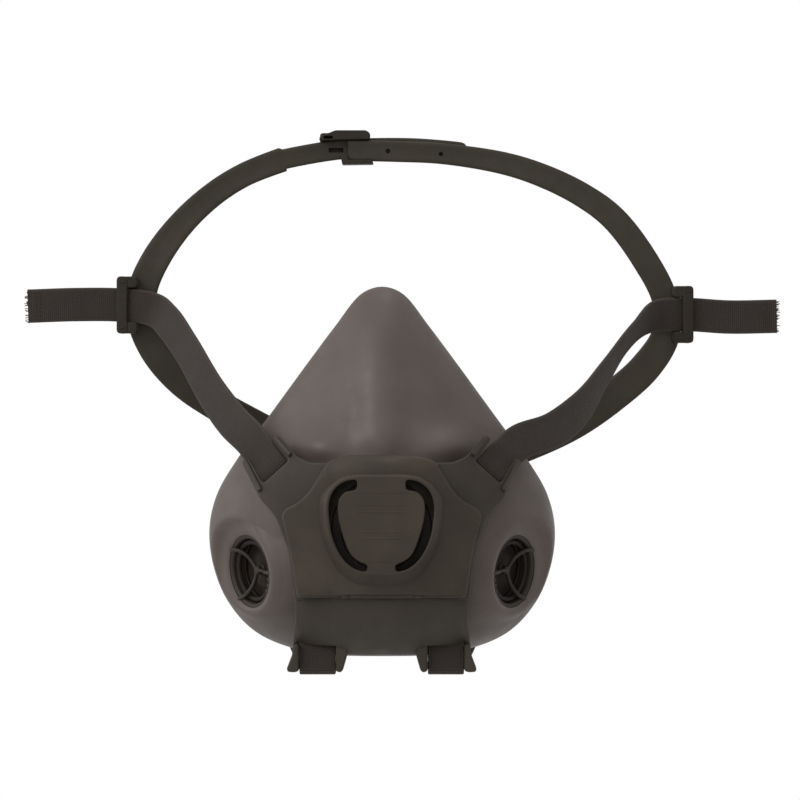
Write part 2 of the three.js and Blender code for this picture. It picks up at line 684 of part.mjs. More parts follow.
function sideBuckle(side) {
  const [x0, x1, z0] = side > 0 ? [111.2, 117.2, 58] : [-100.6, -94.6, 61.6];
  const frame = box(x0, x1, 41.6, 47.8, z0, z0 + 21.6);
  return frame.subtract(box(x0 - 1, x1 + 1, 43, 46.4, z0 + 3.9, z0 + 17.7));
}

// ---------------------------------------------------------------- the whole respirator

add("facepiece", facepiece(), silicone);
add("yoke", yoke(), yokePlastic);
add("latch_cover", latchCover(), coverPlastic);
add("latch_hinge_pin", hingePin(), steel);
add("exhalation_valve_seat", centreAdapter(), portPlastic);
add("exhalation_valve", exhalationValve(), valveRubber);
for (const [name, side] of SIDES) {
  add(`cartridge_port_${name}`, atPort(portBody(), side), portPlastic);
  add(`inhalation_valve_${name}`, atPort(inhalationValve(), side), valveRubber);
  add(`port_gasket_${name}`, atPort(portGasket(), side), gasketRubber);
  add(`strap_run_${name}`, strapRun(side), webbing);
  add(`upper_strap_${name}`, strap(UPPER_STRAPS[name], WEB_THICKNESS, 56), webbing);
  add(`side_buckle_${name}`, sideBuckle(side), bucklePlastic);
  add(`neck_strap_${name}`, neckStrap(side), webbing);
}
add("head_cradle", headCradle(), cradlePlastic);
add("crown_buckle", crownBuckle(), bucklePlastic);
add("neck_clip_tongue", neckClipTongue(), bucklePlastic);
add("neck_clip_socket", neckClipSocket(), bucklePlastic);

export default respirator;
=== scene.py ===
# A half-face respirator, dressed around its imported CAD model.
# Lengths inside the functions are millimetres in the frame's axes: +Z up, -Y out of the front.

import functools
import itertools
import math

import bpy
import numpy as np
from mathutils import Matrix, Vector
from mathutils.bvhtree import BVHTree
from mathutils.geometry import delaunay_2d_cdt
from numpy.linalg import norm


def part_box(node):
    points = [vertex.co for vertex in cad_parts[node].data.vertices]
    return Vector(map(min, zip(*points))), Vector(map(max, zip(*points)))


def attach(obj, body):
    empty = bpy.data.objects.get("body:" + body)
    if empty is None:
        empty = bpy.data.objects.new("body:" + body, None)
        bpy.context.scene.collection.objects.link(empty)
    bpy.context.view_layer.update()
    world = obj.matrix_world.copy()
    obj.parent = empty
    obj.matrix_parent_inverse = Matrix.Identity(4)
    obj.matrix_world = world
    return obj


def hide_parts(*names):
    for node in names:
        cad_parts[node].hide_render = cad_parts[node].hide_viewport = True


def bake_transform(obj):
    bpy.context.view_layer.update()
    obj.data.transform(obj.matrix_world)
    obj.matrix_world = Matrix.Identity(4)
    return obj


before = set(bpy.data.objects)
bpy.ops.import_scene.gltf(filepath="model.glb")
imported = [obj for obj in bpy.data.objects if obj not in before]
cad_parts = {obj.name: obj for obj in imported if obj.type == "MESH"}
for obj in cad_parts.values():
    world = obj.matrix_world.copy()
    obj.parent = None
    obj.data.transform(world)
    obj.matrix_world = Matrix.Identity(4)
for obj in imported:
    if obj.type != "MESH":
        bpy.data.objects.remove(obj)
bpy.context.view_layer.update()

MM = 0.001
SIDES = (("left", 1), ("right", -1))
TURN = 2 * math.pi

# ---- driving dimensions

WALL = 2.3
DOME_Z = -8.0
DOME_Y = -64.0
FACE_OUTLINE = [
    (0, 77), (7.2, 74.6), (17, 62.6), (24.2, 53), (30.1, 45), (41.8, 29), (51.8, 15.5), (59.1, 3),
    (61.9, -9), (60.7, -22), (55.3, -35.5), (45, -46.6), (27, -53.4), (0, -55),
]

YOKE_Y = -72.5
YOKE_SIDE_RADIUS = 58.0
YOKE_WALL = 2.0
APRON_STEP = 1.3
VALVE_OPENING = 17.35
SEAM_Z = -32.0
HINGE_Y = -72.6
HINGE_Z = -30.95
EAR_X = 12.7

COVER_Y = -75.8
COVER_SIDE_RADIUS = 75.0
BOSS_Y = -80.0

PORT_CENTRE = (-46.5, -44.5, -24.0)
PORT_ANGLE = math.radians(55)
PORT_DROP = -0.1
PORT_RADIUS = 14.0
PORT_BORE = 11.5
PORT_FLANGE = 16.2
FLAP_SEAT = 10.1

WEBBING = 12.7
WEB_THICKNESS = 1.3
LOOP_X = 22.5
BAR_Y = -53.0
BAR_Z = -56.6
BAR_RADIUS = 1.3

CRADLE_THICKNESS = 1.8

# ---- curves


def centripetal(points, closed=False, steps=12):
    """Points along a centripetal Catmull-Rom curve, with a number of steps for each span."""
    pts = np.array(points, float)
    before, after = (pts[-1:], pts[:2]) if closed else (2 * pts[:1] - pts[1:2], 2 * pts[-1:] - pts[-2:-1])
    line = np.concatenate([before, pts, after])
    out = []
    for p0, p1, p2, p3 in zip(line, line[1:], line[2:], line[3:]):
        d0, d1, d2 = (max(np.dot(b - a, b - a) ** 0.25, 1e-4) for a, b in ((p0, p1), (p1, p2), (p2, p3)))
        t1 = ((p1 - p0) / d0 - (p2 - p0) / (d0 + d1) + (p2 - p1) / d1) * d1
        t2 = ((p2 - p1) / d1 - (p3 - p1) / (d1 + d2) + (p3 - p2) / d2) * d1
        for t in np.arange(steps) / steps:
            out.append(p1 + t1 * t + (-3 * p1 + 3 * p2 - 2 * t1 - t2) * t * t
                       + (2 * p1 - 2 * p2 + t1 + t2) * t ** 3)
    return np.array(out if closed else out + [pts[-1]])


def resampled(points, count, closed=False):
    """The same line with evenly spaced points."""
    line = np.vstack([points, points[:1]]) if closed else np.asarray(points)
    along = np.concatenate([[0], np.cumsum(norm(np.diff(line, axis=0), axis=1))])
    wanted = np.linspace(0, along[-1], count + 1)[:-1] if closed else np.linspace(0, along[-1], count)
    return np.column_stack([np.interp(wanted, along, line[:, k]) for k in range(line.shape[1])])


def mirrored(points):
    """Right-hand points, from the top centre down, closed by their mirror image."""
    return list(points) + [(-x, z) for x, z in reversed(points) if x > 0]


def rounded(points, radius, steps=6):
    """A closed outline with its corners rounded by quadratic curves."""
    out = []
    for i, here in enumerate(points):
        h, before, after = (np.array(p, float) for p in (here, points[i - 1], points[(i + 1) % len(points)]))
        to_before, to_after = before - h, after - h
        reach, ahead = norm(to_before), norm(to_after)
        cut = min(radius[i] if isinstance(radius, list) else radius, reach * 0.48, ahead * 0.48)
        a, b = h + to_before / reach * cut, h + to_after / ahead * cut
        for k in range(steps + 1):
            t = k / steps
            out.append((1 - t) ** 2 * a + 2 * t * (1 - t) * h + t * t * b)
    return np.array(out)


def softened(loop, passes):
    for _ in range(passes):
        loop = (np.roll(loop, 1, 0) + 2 * loop + np.roll(loop, -1, 0)) / 4
    return loop


def polar(radius, degrees, height):
    a = math.radians(degrees)
    return (radius * math.cos(a), height, radius * math.sin(a))


def circle(radius, height, segments):
    return [polar(radius, 360 * i / segments, height) for i in range(segments)]


def level(height):
    return lambda x, z: height


def raised(outline, front, depth):
    """An outline laid on a surface, so far behind it."""
    return np.array([(x, front(x, z) + depth, z) for x, z in outline])


def area_sign(outline):
    x, z = outline[:, 0], outline[:, 1]
    return math.copysign(1, np.sum(x * np.roll(z, -1) - np.roll(x, -1) * z))


def offset(outline, amount):
    """The outline moved inwards by an amount, or outwards by a negative one."""
    sign = area_sign(outline)
    ahead = np.roll(outline, -1, 0) - outline
    ahead /= np.maximum(norm(ahead, axis=1, keepdims=True), 1e-9)
    behind = np.roll(ahead, 1, 0)
    normal = np.column_stack([-(ahead + behind)[:, 1], (ahead + behind)[:, 0]]) * sign
    normal /= np.maximum(norm(normal, axis=1, keepdims=True), 1e-9)
    edge = np.column_stack([-ahead[:, 1], ahead[:, 0]]) * sign
    stretch = 1 / np.maximum(0.55, np.sum(normal * edge, axis=1, keepdims=True))
    return outline + normal * amount * stretch


# ---- meshes


def linked(name, data):
    """A new object in the scene."""
    obj = bpy.data.objects.new(name, data)
    bpy.context.scene.collection.objects.link(obj)
    return obj


class Build:
    """Vertices and faces in millimetres, with an optional pair of surface lengths for a weave."""

    def __init__(self):
        self.verts = []
        self.faces = []
        self.lie = []

    def add(self, verts, faces, lie=None):
        base = len(self.verts)
        self.verts += [tuple(v) for v in verts]
        self.faces += [tuple(base + i for i in f) for f in faces]
        self.lie += [tuple(p) for p in lie] if lie is not None else [(0.0, 0.0)] * len(verts)
        return self

    def merge(self, other):
        return self.add(other.verts, other.faces, other.lie)

    def placed(self, matrix):
        verts = np.array(self.verts) @ matrix[:3, :3].T + matrix[:3, 3]
        return Build().add(verts, self.faces, self.lie)

    def mirrored(self):
        return Build().add([(-x, y, z) for x, y, z in self.verts], [f[::-1] for f in self.faces], self.lie)

    def mesh(self, name):
        mesh = bpy.data.meshes.new(name)
        mesh.from_pydata([Vector(v) * MM for v in self.verts], [], self.faces)
        return linked(name, mesh)

    def piece(self, name, finish, body, node=None, crease=None):
        """The finished piece of this name, which may stand for a CAD node."""
        obj = self.mesh(name)
        obj.data.validate()
        lie = obj.data.attributes.new("lie", "FLOAT_VECTOR", "POINT")
        lie.data.foreach_set("vector", np.array([(u, v, 0) for u, v in self.lie], np.float32).ravel())
        return finished(obj, finish, body, node, crease)


def finished(obj, finish, body, node=None, crease=None):
    """Gives an object its material and shading, and its body if one is given: a strap between two bodies gets
    none.
    """
    obj.data.materials.clear()
    obj.data.materials.append(finish.material)
    obj.data.shade_smooth()
    obj.data.set_sharp_from_angle(angle=math.radians(crease or finish.crease))
    if body:
        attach(obj, body)
    if node:
        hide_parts(node)
    return obj


def volume(verts, faces):
    """Six times the signed volume inside the faces: positive where they face out."""
    v = np.array(verts, float)
    fans = ((f[0], f[k], f[k + 1]) for f in faces for k in range(1, len(f) - 1))
    return sum(np.dot(v[a], np.cross(v[b], v[c])) for a, b, c in fans)


def wall(rings, loop=False):
    """The quads that join rings of equal length, in order."""
    count = len(rings[0])
    steps = [(i, (i + 1) % count) for i in range(count)]
    faces = []
    for r in range(len(rings) if loop else len(rings) - 1):
        here, there = r * count, (r + 1) % len(rings) * count
        faces += [(here + i, here + k, there + k, there + i) for i, k in steps]
    return faces


def loft(rings, loop=False, lie=None):
    """Joins rings of equal length, capped by fans or closed on themselves, with its faces out."""
    rings = [np.asarray(r, float) for r in rings]
    count = len(rings[0])
    verts = [p for ring in rings for p in ring]
    faces = wall(rings, loop)
    if not loop:
        for ring, end in ((0, False), (len(rings) - 1, True)):
            middle = len(verts)
            verts.append(rings[ring].mean(0))
            for i in range(count):
                a, b = ring * count + i, ring * count + (i + 1) % count
                faces.append((a, b, middle) if end else (b, a, middle))
    if volume(verts, faces) < 0:
        faces = [f[::-1] for f in faces]
    lies = None
    if lie is not None:
        lies = [p for ring in lie for p in ring]
        lies += [lies[-1]] * (len(verts) - len(lies))
    return Build().add(verts, faces, lies)


def inside(outline, points):
    """Which points lie inside a closed outline."""
    x, z = points[:, 0:1], points[:, 1:2]
    x0, z0 = outline[:, 0], outline[:, 1]
    x1, z1 = np.roll(x0, -1), np.roll(z0, -1)
    crosses = ((z0 > z) != (z1 > z)) & (x < (x1 - x0) * (z - z0) / (z1 - z0 + 1e-12) + x0)
    return crosses.sum(1) % 2 == 1


def sheet_faces(outer, holes, spacing):
    """Triangles that fill an outline with holes, with inner points on a grid so that it can curve."""
    low, high = outer.min(0), outer.max(0)
    columns, rows = (np.arange(low[k] + spacing / 2, high[k], spacing) for k in (0, 1))
    grid = np.array(list(itertools.product(columns, rows))).reshape(-1, 2)
    edge = np.vstack([outer, *holes])

    def within(points):
        return inside(outer, points) & ~np.any([inside(hole, points) for hole in holes], axis=0)

    grid = grid[within(grid)]
    if len(grid):
        near = np.min(norm(grid[:, None] - edge[None], axis=2), axis=1)
        grid = grid[near > spacing * 0.45]
    edges, start = [], 0
    for ring in (outer, *holes):
        edges += [(start + i, start + (i + 1) % len(ring)) for i in range(len(ring))]
        start += len(ring)
    coords = [Vector(p) for p in np.vstack([edge, grid])]
    verts, _, faces, *_ = delaunay_2d_cdt(coords, edges, [], 0, 1e-7)
    flat = np.array([v[:] for v in verts])
    return flat, [tuple(f) for f in faces if within(flat[list(f)].mean(0)[None])[0]]


def panel(outline, front, back, round_by=0.6, holes=(), spacing=2.0, steps=3, back_round=0.3):
    """A curved plate cut to an outline: front and back are heights over the XZ plane, with rounded edges."""
    loops = [(np.asarray(outline, float), 1)] + [(np.asarray(h, float), -1) for h in holes]
    build = Build()
    quarter = [math.pi / 2 * k / steps for k in range(steps + 1)]
    for loop, s in loops:
        rings = []
        for t in quarter:
            inset = offset(loop, s * round_by * (1 - math.sin(t)))
            rings.append(raised(inset, front, round_by * (1 - math.cos(t))))
        for t in quarter:
            inset = offset(loop, s * back_round * (1 - math.cos(t)))
            rings.append(raised(inset, back, back_round * (math.sin(t) - 1)))
        faces = wall(rings)
        if area_sign(loop) * s > 0:
            faces = [f[::-1] for f in faces]
        build.add([p for ring in rings for p in ring], faces)
    for height, inset, facing in ((front, round_by, -1), (back, back_round, 1)):
        rims = [offset(loop, inset * s) for loop, s in loops]
        flat, faces = sheet_faces(rims[0], rims[1:], spacing)
        faces = [f if area_sign(flat[list(f)]) * facing < 0 else f[::-1] for f in faces]
        build.add(raised(flat, height, 0), faces)
    return build


def turned(profile, corner, segments):
    """A closed profile of radius and height, its corners rounded if asked, turned round the local Y axis."""
    edge = rounded(profile, corner, 3) if corner else profile
    return loft([circle(r, s, segments) for r, s in edge], loop=True)


def bar(points, radius_a, radius_b=None, up=(0, 0, 1), sides=12, square=2.6):
    """A rod of rounded section along a line, closed at its ends by domed caps."""
    radius_b = radius_b or radius_a
    line = np.asarray(points, float)
    turns = np.arange(sides) * TURN / sides
    c, s = np.cos(turns)[:, None], np.sin(turns)[:, None]
    reach = (np.abs(c) ** square + np.abs(s) ** square) ** (-1 / square)
    dome = min(radius_a, radius_b) * 0.175
    rings = []
    for i, p in enumerate(line):
        along = line[min(i + 1, len(line) - 1)] - line[max(i - 1, 0)]
        along /= norm(along)
        side = np.cross(along, up)
        side /= norm(side)
        section = side * radius_a * reach * c + np.cross(side, along) * radius_b * reach * s
        if i == 0:
            rings += [p + section * 0.7, p + along * dome + section * 0.93]
        elif i == len(line) - 1:
            rings += [p - along * dome + section * 0.93, p + section * 0.7]
        else:
            rings.append(p + section)
    return loft(rings)


def ribbon(stations, thickness, steps, section=None):
    """A flat strap along a line of (point, direction across, width), which notes how far across and along."""
    section = section or band_section(0.93, 10, (0.9, 0.45, 0, -0.45, -0.9))
    points, across, wide = (centripetal([s[k] for s in stations], steps=steps) for k in (0, 1, 2))
    length = np.concatenate([[0], np.cumsum(norm(np.diff(points, axis=0), axis=1))])
    rings, lies = [], []
    for i, p in enumerate(points):
        along = points[min(i + 1, len(points) - 1)] - points[max(i - 1, 0)]
        along /= norm(along)
        side = across[i] - along * np.dot(across[i], along)
        side /= norm(side)
        out = np.cross(along, side)
        half = wide[i] / 2
        rings.append([p + side * a * half + out * b * thickness / 2 for a, b in section])
        lies.append([(a * half, length[i]) for a, b in section])
    return loft(rings, lie=lies)


def band_section(edge, flat, turns, channel=1.0):
    """A half-unit section: flat faces, with an optional shallow channel in each, and rounded edges."""
    xs = np.linspace(-edge, edge, flat)
    top = [(x, channel if abs(x) < 0.6 else 1.0) for x in xs]
    right = [(edge + (1 - edge) * math.cos(a), math.sin(a)) for a in turns]
    return top + right + [(x, -y) for x, y in reversed(top)] + [(-x, -y) for x, y in right]


# ---- materials


STUDIO_GAIN = 1.8
STUDIO_GLOSS = 0.01
DARKEST = 0.002
STITCH_WIDTH = 0.98
STITCH_LENGTH = 0.78


def srgb(red, green, blue):
    """A base colour that shows as this sRGB value, once the studio's light and a satin gloss are added."""
    shown = (((c / 255 + 0.055) / 1.055) ** 2.4 for c in (red, green, blue))
    return tuple(max(DARKEST, (c - STUDIO_GLOSS) / STUDIO_GAIN) for c in shown) + (1.0,)


class Finish:
    """A procedural material, its slot name, and how sharp a crease must be to stay sharp.

    Its nodes feed a Principled surface, and its scales are in millimetres."""

    def __init__(self, name, roughness, specular, crease, metallic=0.0, slot=None):
        self.slot = slot or name
        self.crease = crease
        self.material = bpy.data.materials.new(name)
        self.material.use_nodes = True
        self.tree = self.material.node_tree
        self.surface = next(n for n in self.tree.nodes if n.type == "BSDF_PRINCIPLED")
        self.set("Roughness", roughness)
        self.set("Specular IOR Level", specular)
        self.set("Metallic", metallic)
        self.place = self.node("ShaderNodeTexCoord").outputs["Object"]

    def node(self, kind, inputs=(), **values):
        """A new node, its inputs fed by name or number and its other values set."""
        made = self.tree.nodes.new(kind)
        for key, value in values.items():
            setattr(made, key, value)
        for key, value in dict(inputs).items():
            self.feed(made.inputs[key], value)
        return made

    def feed(self, socket, value):
        if isinstance(value, bpy.types.NodeSocket):
            self.tree.links.new(value, socket)
        else:
            socket.default_value = value

    def set(self, name, value):
        self.feed(self.surface.inputs[name], value)

    def math(self, operation, first, second=0.0):
        return self.node("ShaderNodeMath", {0: first, 1: second}, operation=operation).outputs[0]

    def noise(self, size, detail=3.0, roughness=0.5, stretch=(1, 1, 1)):
        scaled = self.node("ShaderNodeMapping", {"Vector": self.place, "Scale": stretch}).outputs[0]
        inputs = {"Vector": scaled, "Scale": 1 / (size * MM), "Detail": detail, "Roughness": roughness}
        return self.node("ShaderNodeTexNoise", inputs).outputs[0]

    def spread(self, value, low, high, to_low=0.0, to_high=1.0):
        inputs = enumerate((value, low, high, to_low, to_high))
        return self.node("ShaderNodeMapRange", inputs, interpolation_type="SMOOTHSTEP").outputs[0]

    def mix(self, share, first, second):
        return self.node("ShaderNodeMix", {0: share, 6: first, 7: second}, data_type="RGBA").outputs[2]

    def bump(self, height, depth, strength=1.0):
        inputs = {"Strength": strength, "Distance": depth * MM, "Height": height}
        self.set("Normal", self.node("ShaderNodeBump", inputs).outputs[0])

    def edges(self, radius):
        """1 along convex edges, 0 elsewhere."""
        bevel = self.node("ShaderNodeBevel", {"Radius": radius * MM}, samples=4).outputs[0]
        normal = self.node("ShaderNodeNewGeometry").outputs["Normal"]
        apart = self.node("ShaderNodeVectorMath", {0: bevel, 1: normal}, operation="DOT_PRODUCT")
        return self.spread(apart.outputs["Value"], 0.98, 0.8)


def moulded(name, base, light, dark, roughness, crease, grain=0.35, depth=0.02, specular=0.18, cloud=18.0,
            slot=None):
    """Moulded plastic or rubber: cloudy colour, fine grain in the surface and uneven gloss."""
    finish = Finish(name, roughness, specular, crease, slot=slot)
    cloudy = finish.noise(cloud, 4.0, 0.55)
    fine = finish.noise(grain * 2.4, 3.0, 0.6)
    toned = finish.mix(finish.spread(cloudy, 0.35, 0.7), srgb(*dark), srgb(*base))
    finish.set("Base Color", finish.mix(finish.spread(fine, 0.55, 0.8, 0.0, 0.5), toned, srgb(*light)))
    gloss = finish.noise(cloud * 0.4, 5.0, 0.6)
    finish.set("Roughness", finish.spread(gloss, 0.3, 0.75, roughness - 0.05, roughness + 0.09))
    finish.bump(finish.noise(grain, 2.0, 0.5), depth, 0.8)
    return finish


def woven(name, base, light, dark, edge):
    """Knitted elastic: rows of small chevrons along the strap and a plain, lighter selvedge."""
    finish = Finish(name, 0.9, 0.2, 50)
    times, plus = (functools.partial(finish.math, kind) for kind in ("MULTIPLY", "ADD"))
    lie = finish.node("ShaderNodeAttribute", attribute_name="lie").outputs["Vector"]
    across, along, _ = finish.node("ShaderNodeSeparateXYZ", {0: lie}).outputs
    wobble = times(finish.noise(2.6, 2.0), 0.35)
    column = plus(finish.math("DIVIDE", across, STITCH_WIDTH), wobble)
    zigzag = times(finish.math("PINGPONG", column, 0.5), 0.9)
    rows = plus(finish.math("DIVIDE", along, STITCH_LENGTH), zigzag)
    loops = finish.math("SINE", times(rows, TURN))
    ribs = finish.math("SINE", times(column, TURN * 2))
    knit = plus(plus(times(loops, 0.34), times(ribs, 0.2)), 0.5)
    hem = finish.spread(finish.math("ABSOLUTE", across), 5.35, 5.9)
    speckle = finish.spread(finish.noise(0.5, 2.0, 0.7), 0.6, 0.72)
    body = finish.mix(finish.spread(knit, 0.15, 0.85), srgb(*dark), srgb(*base))
    body = finish.mix(times(speckle, 0.4), body, srgb(*light))
    body = finish.mix(finish.spread(finish.noise(14, 3.0), 0.35, 0.7, 0.0, 0.3), body, srgb(*dark))
    finish.set("Base Color", finish.mix(times(hem, 0.7), body, srgb(*edge)))
    fibre = finish.noise(0.22, 3.0, 0.7)
    finish.bump(plus(knit, times(fibre, 0.35)), 0.14, 0.9)
    finish.set("Sheen Weight", 0.02)
    return finish


def soft_silicone():
    """Satin silicone: a little light passes just under its skin, which handling leaves uneven."""
    finish = moulded("silicone", (94, 84, 78), (100, 90, 84), (88, 78, 73), 0.5, 40, 0.5, 0.012, 0.26, 26)
    finish.set("Subsurface Weight", 0.06)
    finish.set("Subsurface Radius", (0.9, 0.6, 0.5))
    finish.set("Subsurface Scale", 2 * MM)
    return finish


def hard(name, base, light, dark, crease):
    """Moulded plastic whose edges have rubbed a shade lighter here and there."""
    finish = moulded(name, base, light, dark, 0.55, crease, 0.3, 0.014)
    worn = finish.math("MULTIPLY", finish.edges(0.5), finish.spread(finish.noise(3.5, 4.0), 0.35, 0.65))
    toned = finish.surface.inputs["Base Color"].links[0].from_socket
    finish.set("Base Color", finish.mix(finish.math("MULTIPLY", worn, 0.04), toned, srgb(*light)))
    return finish


def blackened_steel():
    finish = Finish("pin_steel", 0.3, 0.5, 30, metallic=1.0)
    lines = finish.noise(0.6, 3.0, 0.6, stretch=(0.05, 1, 1))
    finish.set("Base Color", finish.mix(lines, srgb(60, 58, 54), srgb(84, 81, 77)))
    finish.set("Roughness", finish.spread(lines, 0.3, 0.7, 0.24, 0.42))
    finish.bump(lines, 0.01, 0.6)
    return finish


SILICONE = soft_silicone()
YOKE = hard("yoke_plastic", (67, 61, 53), (77, 71, 62), (61, 55, 48), 42)
COVER = hard("cover_plastic", (69, 62, 53), (79, 72, 62), (62, 55, 47), 42)
PORT = hard("port_plastic", (58, 51, 45), (70, 62, 55), (50, 44, 39), 38)
BUCKLE = hard("buckle_plastic", (50, 45, 38), (62, 56, 48), (44, 39, 33), 38)
CRADLE = moulded("cradle_plastic", (64, 58, 50), (73, 67, 58), (58, 53, 45), 0.6, 38)
WEB = woven("webbing", (70, 64, 59), (90, 83, 77), (50, 44, 41), (72, 66, 61))
THREAD = moulded("thread", (72, 66, 60), (88, 81, 75), (58, 52, 48), 0.9, 60, 0.2, slot="webbing")
VALVE = moulded("valve_rubber", (50, 43, 38), (58, 51, 46), (44, 38, 33), 0.7, 35)
GASKET = moulded("gasket_rubber", (42, 37, 33), (50, 45, 40), (36, 31, 28), 0.7, 35)
STEEL = blackened_steel()


# ---- facepiece


def widest(angle):
    return -27 - np.cos(angle) - 2 * np.cos(2 * angle)


def rim(angle):
    return 1.5 - 11 * np.cos(angle) - 10.5 * np.cos(2 * angle)


def fullness(angle):
    return 1.9 - 0.35 * np.cos(angle)


AROUND = 240
face_line = resampled(centripetal(mirrored(FACE_OUTLINE), closed=True, steps=24), AROUND, closed=True)
face_angle = np.arctan2(np.abs(face_line[:, 0]), face_line[:, 1] - DOME_Z)
face_reach = np.hypot(face_line[:, 0], face_line[:, 1] - DOME_Z)


# How the moulded skin swells: a middle and a size, across and up, then a height.
SWELLS = (
    (23.5, 20.5, 9.5, 6.0, 4.6),  # the lobes beside the cover
    (0, 24, 13, 6, 1.6),  # the brow between them
    (10, 30, 3.6, 10, -0.7),  # the valleys beside the nose
    (0, 52, 6, 22, 0.8),  # the nose
    (31, -22, 5, 26, -1.0),  # the cheeks
    (34, -25, 5, 11, -0.6),  # inboard of the ports
)


def relief(x, z):
    """How far the moulded skin stands proud of the plain dome, towards -Y."""
    return sum(height * np.exp(-((np.abs(x) - over) / wide) ** 2 - ((z - up) / tall) ** 2)
               for over, up, wide, tall, height in SWELLS)


def face_ring(scale, inset, height):
    size = scale * (1 - inset / face_reach)
    x = face_line[:, 0] * size
    z = DOME_Z + (face_line[:, 1] - DOME_Z) * size
    return np.column_stack([x, height(x, z), z])


def dome_ring(scale, inset):
    def height(x, z):
        rise = (1 - scale ** fullness(face_angle)) ** (1 / fullness(face_angle)) if scale < 1 else 0
        plain = widest(face_angle) + (DOME_Y + inset - widest(face_angle)) * rise
        return plain - relief(x, z) * (1 - scale ** 6)
    return face_ring(scale, inset, height)


def port_matrix():
    """Local +Y points out of the port and local +X to its outer side. This is the right-hand port."""
    outward = Vector((-math.sin(PORT_ANGLE), -math.cos(PORT_ANGLE), PORT_DROP)).normalized()
    up = (Vector((0, 0, 1)) - outward * outward.z).normalized()
    lateral = outward.cross(up)
    matrix = np.eye(4)
    matrix[:3] = np.column_stack([lateral, outward, up, PORT_CENTRE])
    return matrix


PORT_PLACE = port_matrix()
VALVE_PLACE = np.array([[1.0, 0, 0, 0], [0, -1, 0, 0], [0, 0, -1, DOME_Z], [0, 0, 0, 1]])
DISH_INNER = 14.4
DISH_OUTER = 24.0
DISH_FLOOR = 0.2
DISH_RISE = 5.0
FLARE_OUTER = 26.5
FLARE_DROP = 10.0
LIP_STEPS = 96
DOME_SCALES = [math.sin(math.pi / 2 * i / 46) for i in range(1, 47)]


def eased(value, start, end):
    t = np.clip((value - start) / (end - start), 0, 1)
    return t * t * (3 - 2 * t)


def soft_excess(amount):
    """The amount where it is positive, and nothing elsewhere, with a rounded change between the two."""
    return 0.5 * (amount + np.sqrt(amount * amount + 0.25))


def dished(ring, wall=0.0):
    """Brings the skin to the rim of each port: drawn down where it is high, flared up where it is low."""
    points = ring.copy()
    for flip in (1, -1):
        local = (points * (flip, 1, 1) - PORT_PLACE[:3, 3]) @ PORT_PLACE[:3, :3]
        reach, height = np.hypot(local[:, 0], local[:, 2]), local[:, 1]
        beyond = np.maximum(0, reach - DISH_OUTER) * 2
        ceiling = DISH_FLOOR + DISH_RISE * eased(reach, DISH_INNER, DISH_OUTER) + beyond - wall
        floor = DISH_FLOOR - 0.1 - FLARE_DROP * eased(reach, DISH_INNER, FLARE_OUTER) - beyond - wall
        change = soft_excess(floor - height) - soft_excess(height - ceiling)
        near = (height > -14) & (reach < DISH_OUTER + 8)
        points += (np.where(near, change, 0)[:, None] * PORT_PLACE[:3, 1]) * (flip, 1, 1)
    return points


def face_shell():
    """One skin of rings: down the outside from the dome, round the inturned lip and up the inside."""

    def down(share, past=0.0):
        return lambda x, z: widest(face_angle) + share * (rim(face_angle) - widest(face_angle)) + past

    rings = [dished(dome_ring(s, 0)) for s in DOME_SCALES]
    edge = [
        (0.02, 0.08), (0.1, 0.18), (0.25, 0.3), (0.5, 0.42), (0.8, 0.55), (1.1, 0.68), (1.5, 0.8), (2.0, 0.9),
        (2.6, 1, -0.55), (3.3, 1, -0.1), (4.4, 1, 0.05), (6, 1, -0.25), (8, 1, -0.8), (10, 1, -1.45),
        (12, 1, -2.1), (12.9, 1, -2.5), (13.4, 1, -3.0), (13.4, 1, -3.6), (12.9, 1, -4.0), (11.5, 1, -3.8),
        (9.5, 1, -3.3), (7.6, 1, -2.8), (6.2, 1, -2.6), (5.0, 1, -3.0),
        (4.2, 0.84), (3.7, 0.72), (3.4, 0.58), (3.1, 0.42), (2.75, 0.26), (2.45, 0.12),
    ]
    rings += [face_ring(1, inset, down(*place)) for inset, *place in edge]
    rings += [dished(dome_ring(s, WALL), WALL) for s in reversed(DOME_SCALES[:-1:2])]
    return loft(rings)


def at_port(build, side):
    placed = build.placed(PORT_PLACE)
    return placed.mirrored() if side > 0 else placed


def rod(radius, start, end, segments=64):
    return turned_solid([(0, start), (radius, start), (radius, end), (0, end)], segments)


def turned_solid(profile, segments=64):
    """Turned from a profile that starts and ends on the axis."""
    build = loft([circle(r, s, segments) for r, s in profile[1:-1]])
    build.verts[-2:] = [(0, profile[0][1], 0), (0, profile[-1][1], 0)]
    return build


def cut_away(obj, cutters):
    """Subtracts closed shapes from an object's mesh and removes the shapes."""
    for number, build in enumerate(cutters):
        tool = build.mesh(f"cutter_{number}")
        cut = obj.modifiers.new("cut", "BOOLEAN")
        cut.object, cut.operation, cut.solver = tool, "DIFFERENCE", "EXACT"
        bpy.context.view_layer.update()
        made = bpy.data.meshes.new_from_object(obj.evaluated_get(bpy.context.evaluated_depsgraph_get()))
        obj.modifiers.clear()
        obj.data = made
        bpy.data.objects.remove(tool)
    return obj


def port_heights(radii, count):
    """How high the skin lies over a port's own plane, at polar places round its axis."""
    skin = loft([dished(dome_ring(s, 0)) for s in DOME_SCALES]
                + [face_ring(1, 0.5, lambda x, z: rim(face_angle))])
    tree = BVHTree.FromPolygons([Vector(v) for v in skin.verts], skin.faces)
    place = Matrix(PORT_PLACE.tolist())
    inward = -Vector(PORT_PLACE[:3, 1])
    above = 40
    table = []
    for i in range(count):
        starts = [place @ Vector(polar(r, 360 * i / count, above)) for r in radii]
        table.append([above - tree.ray_cast(start, inward)[3] for start in starts])
    return np.array(table)


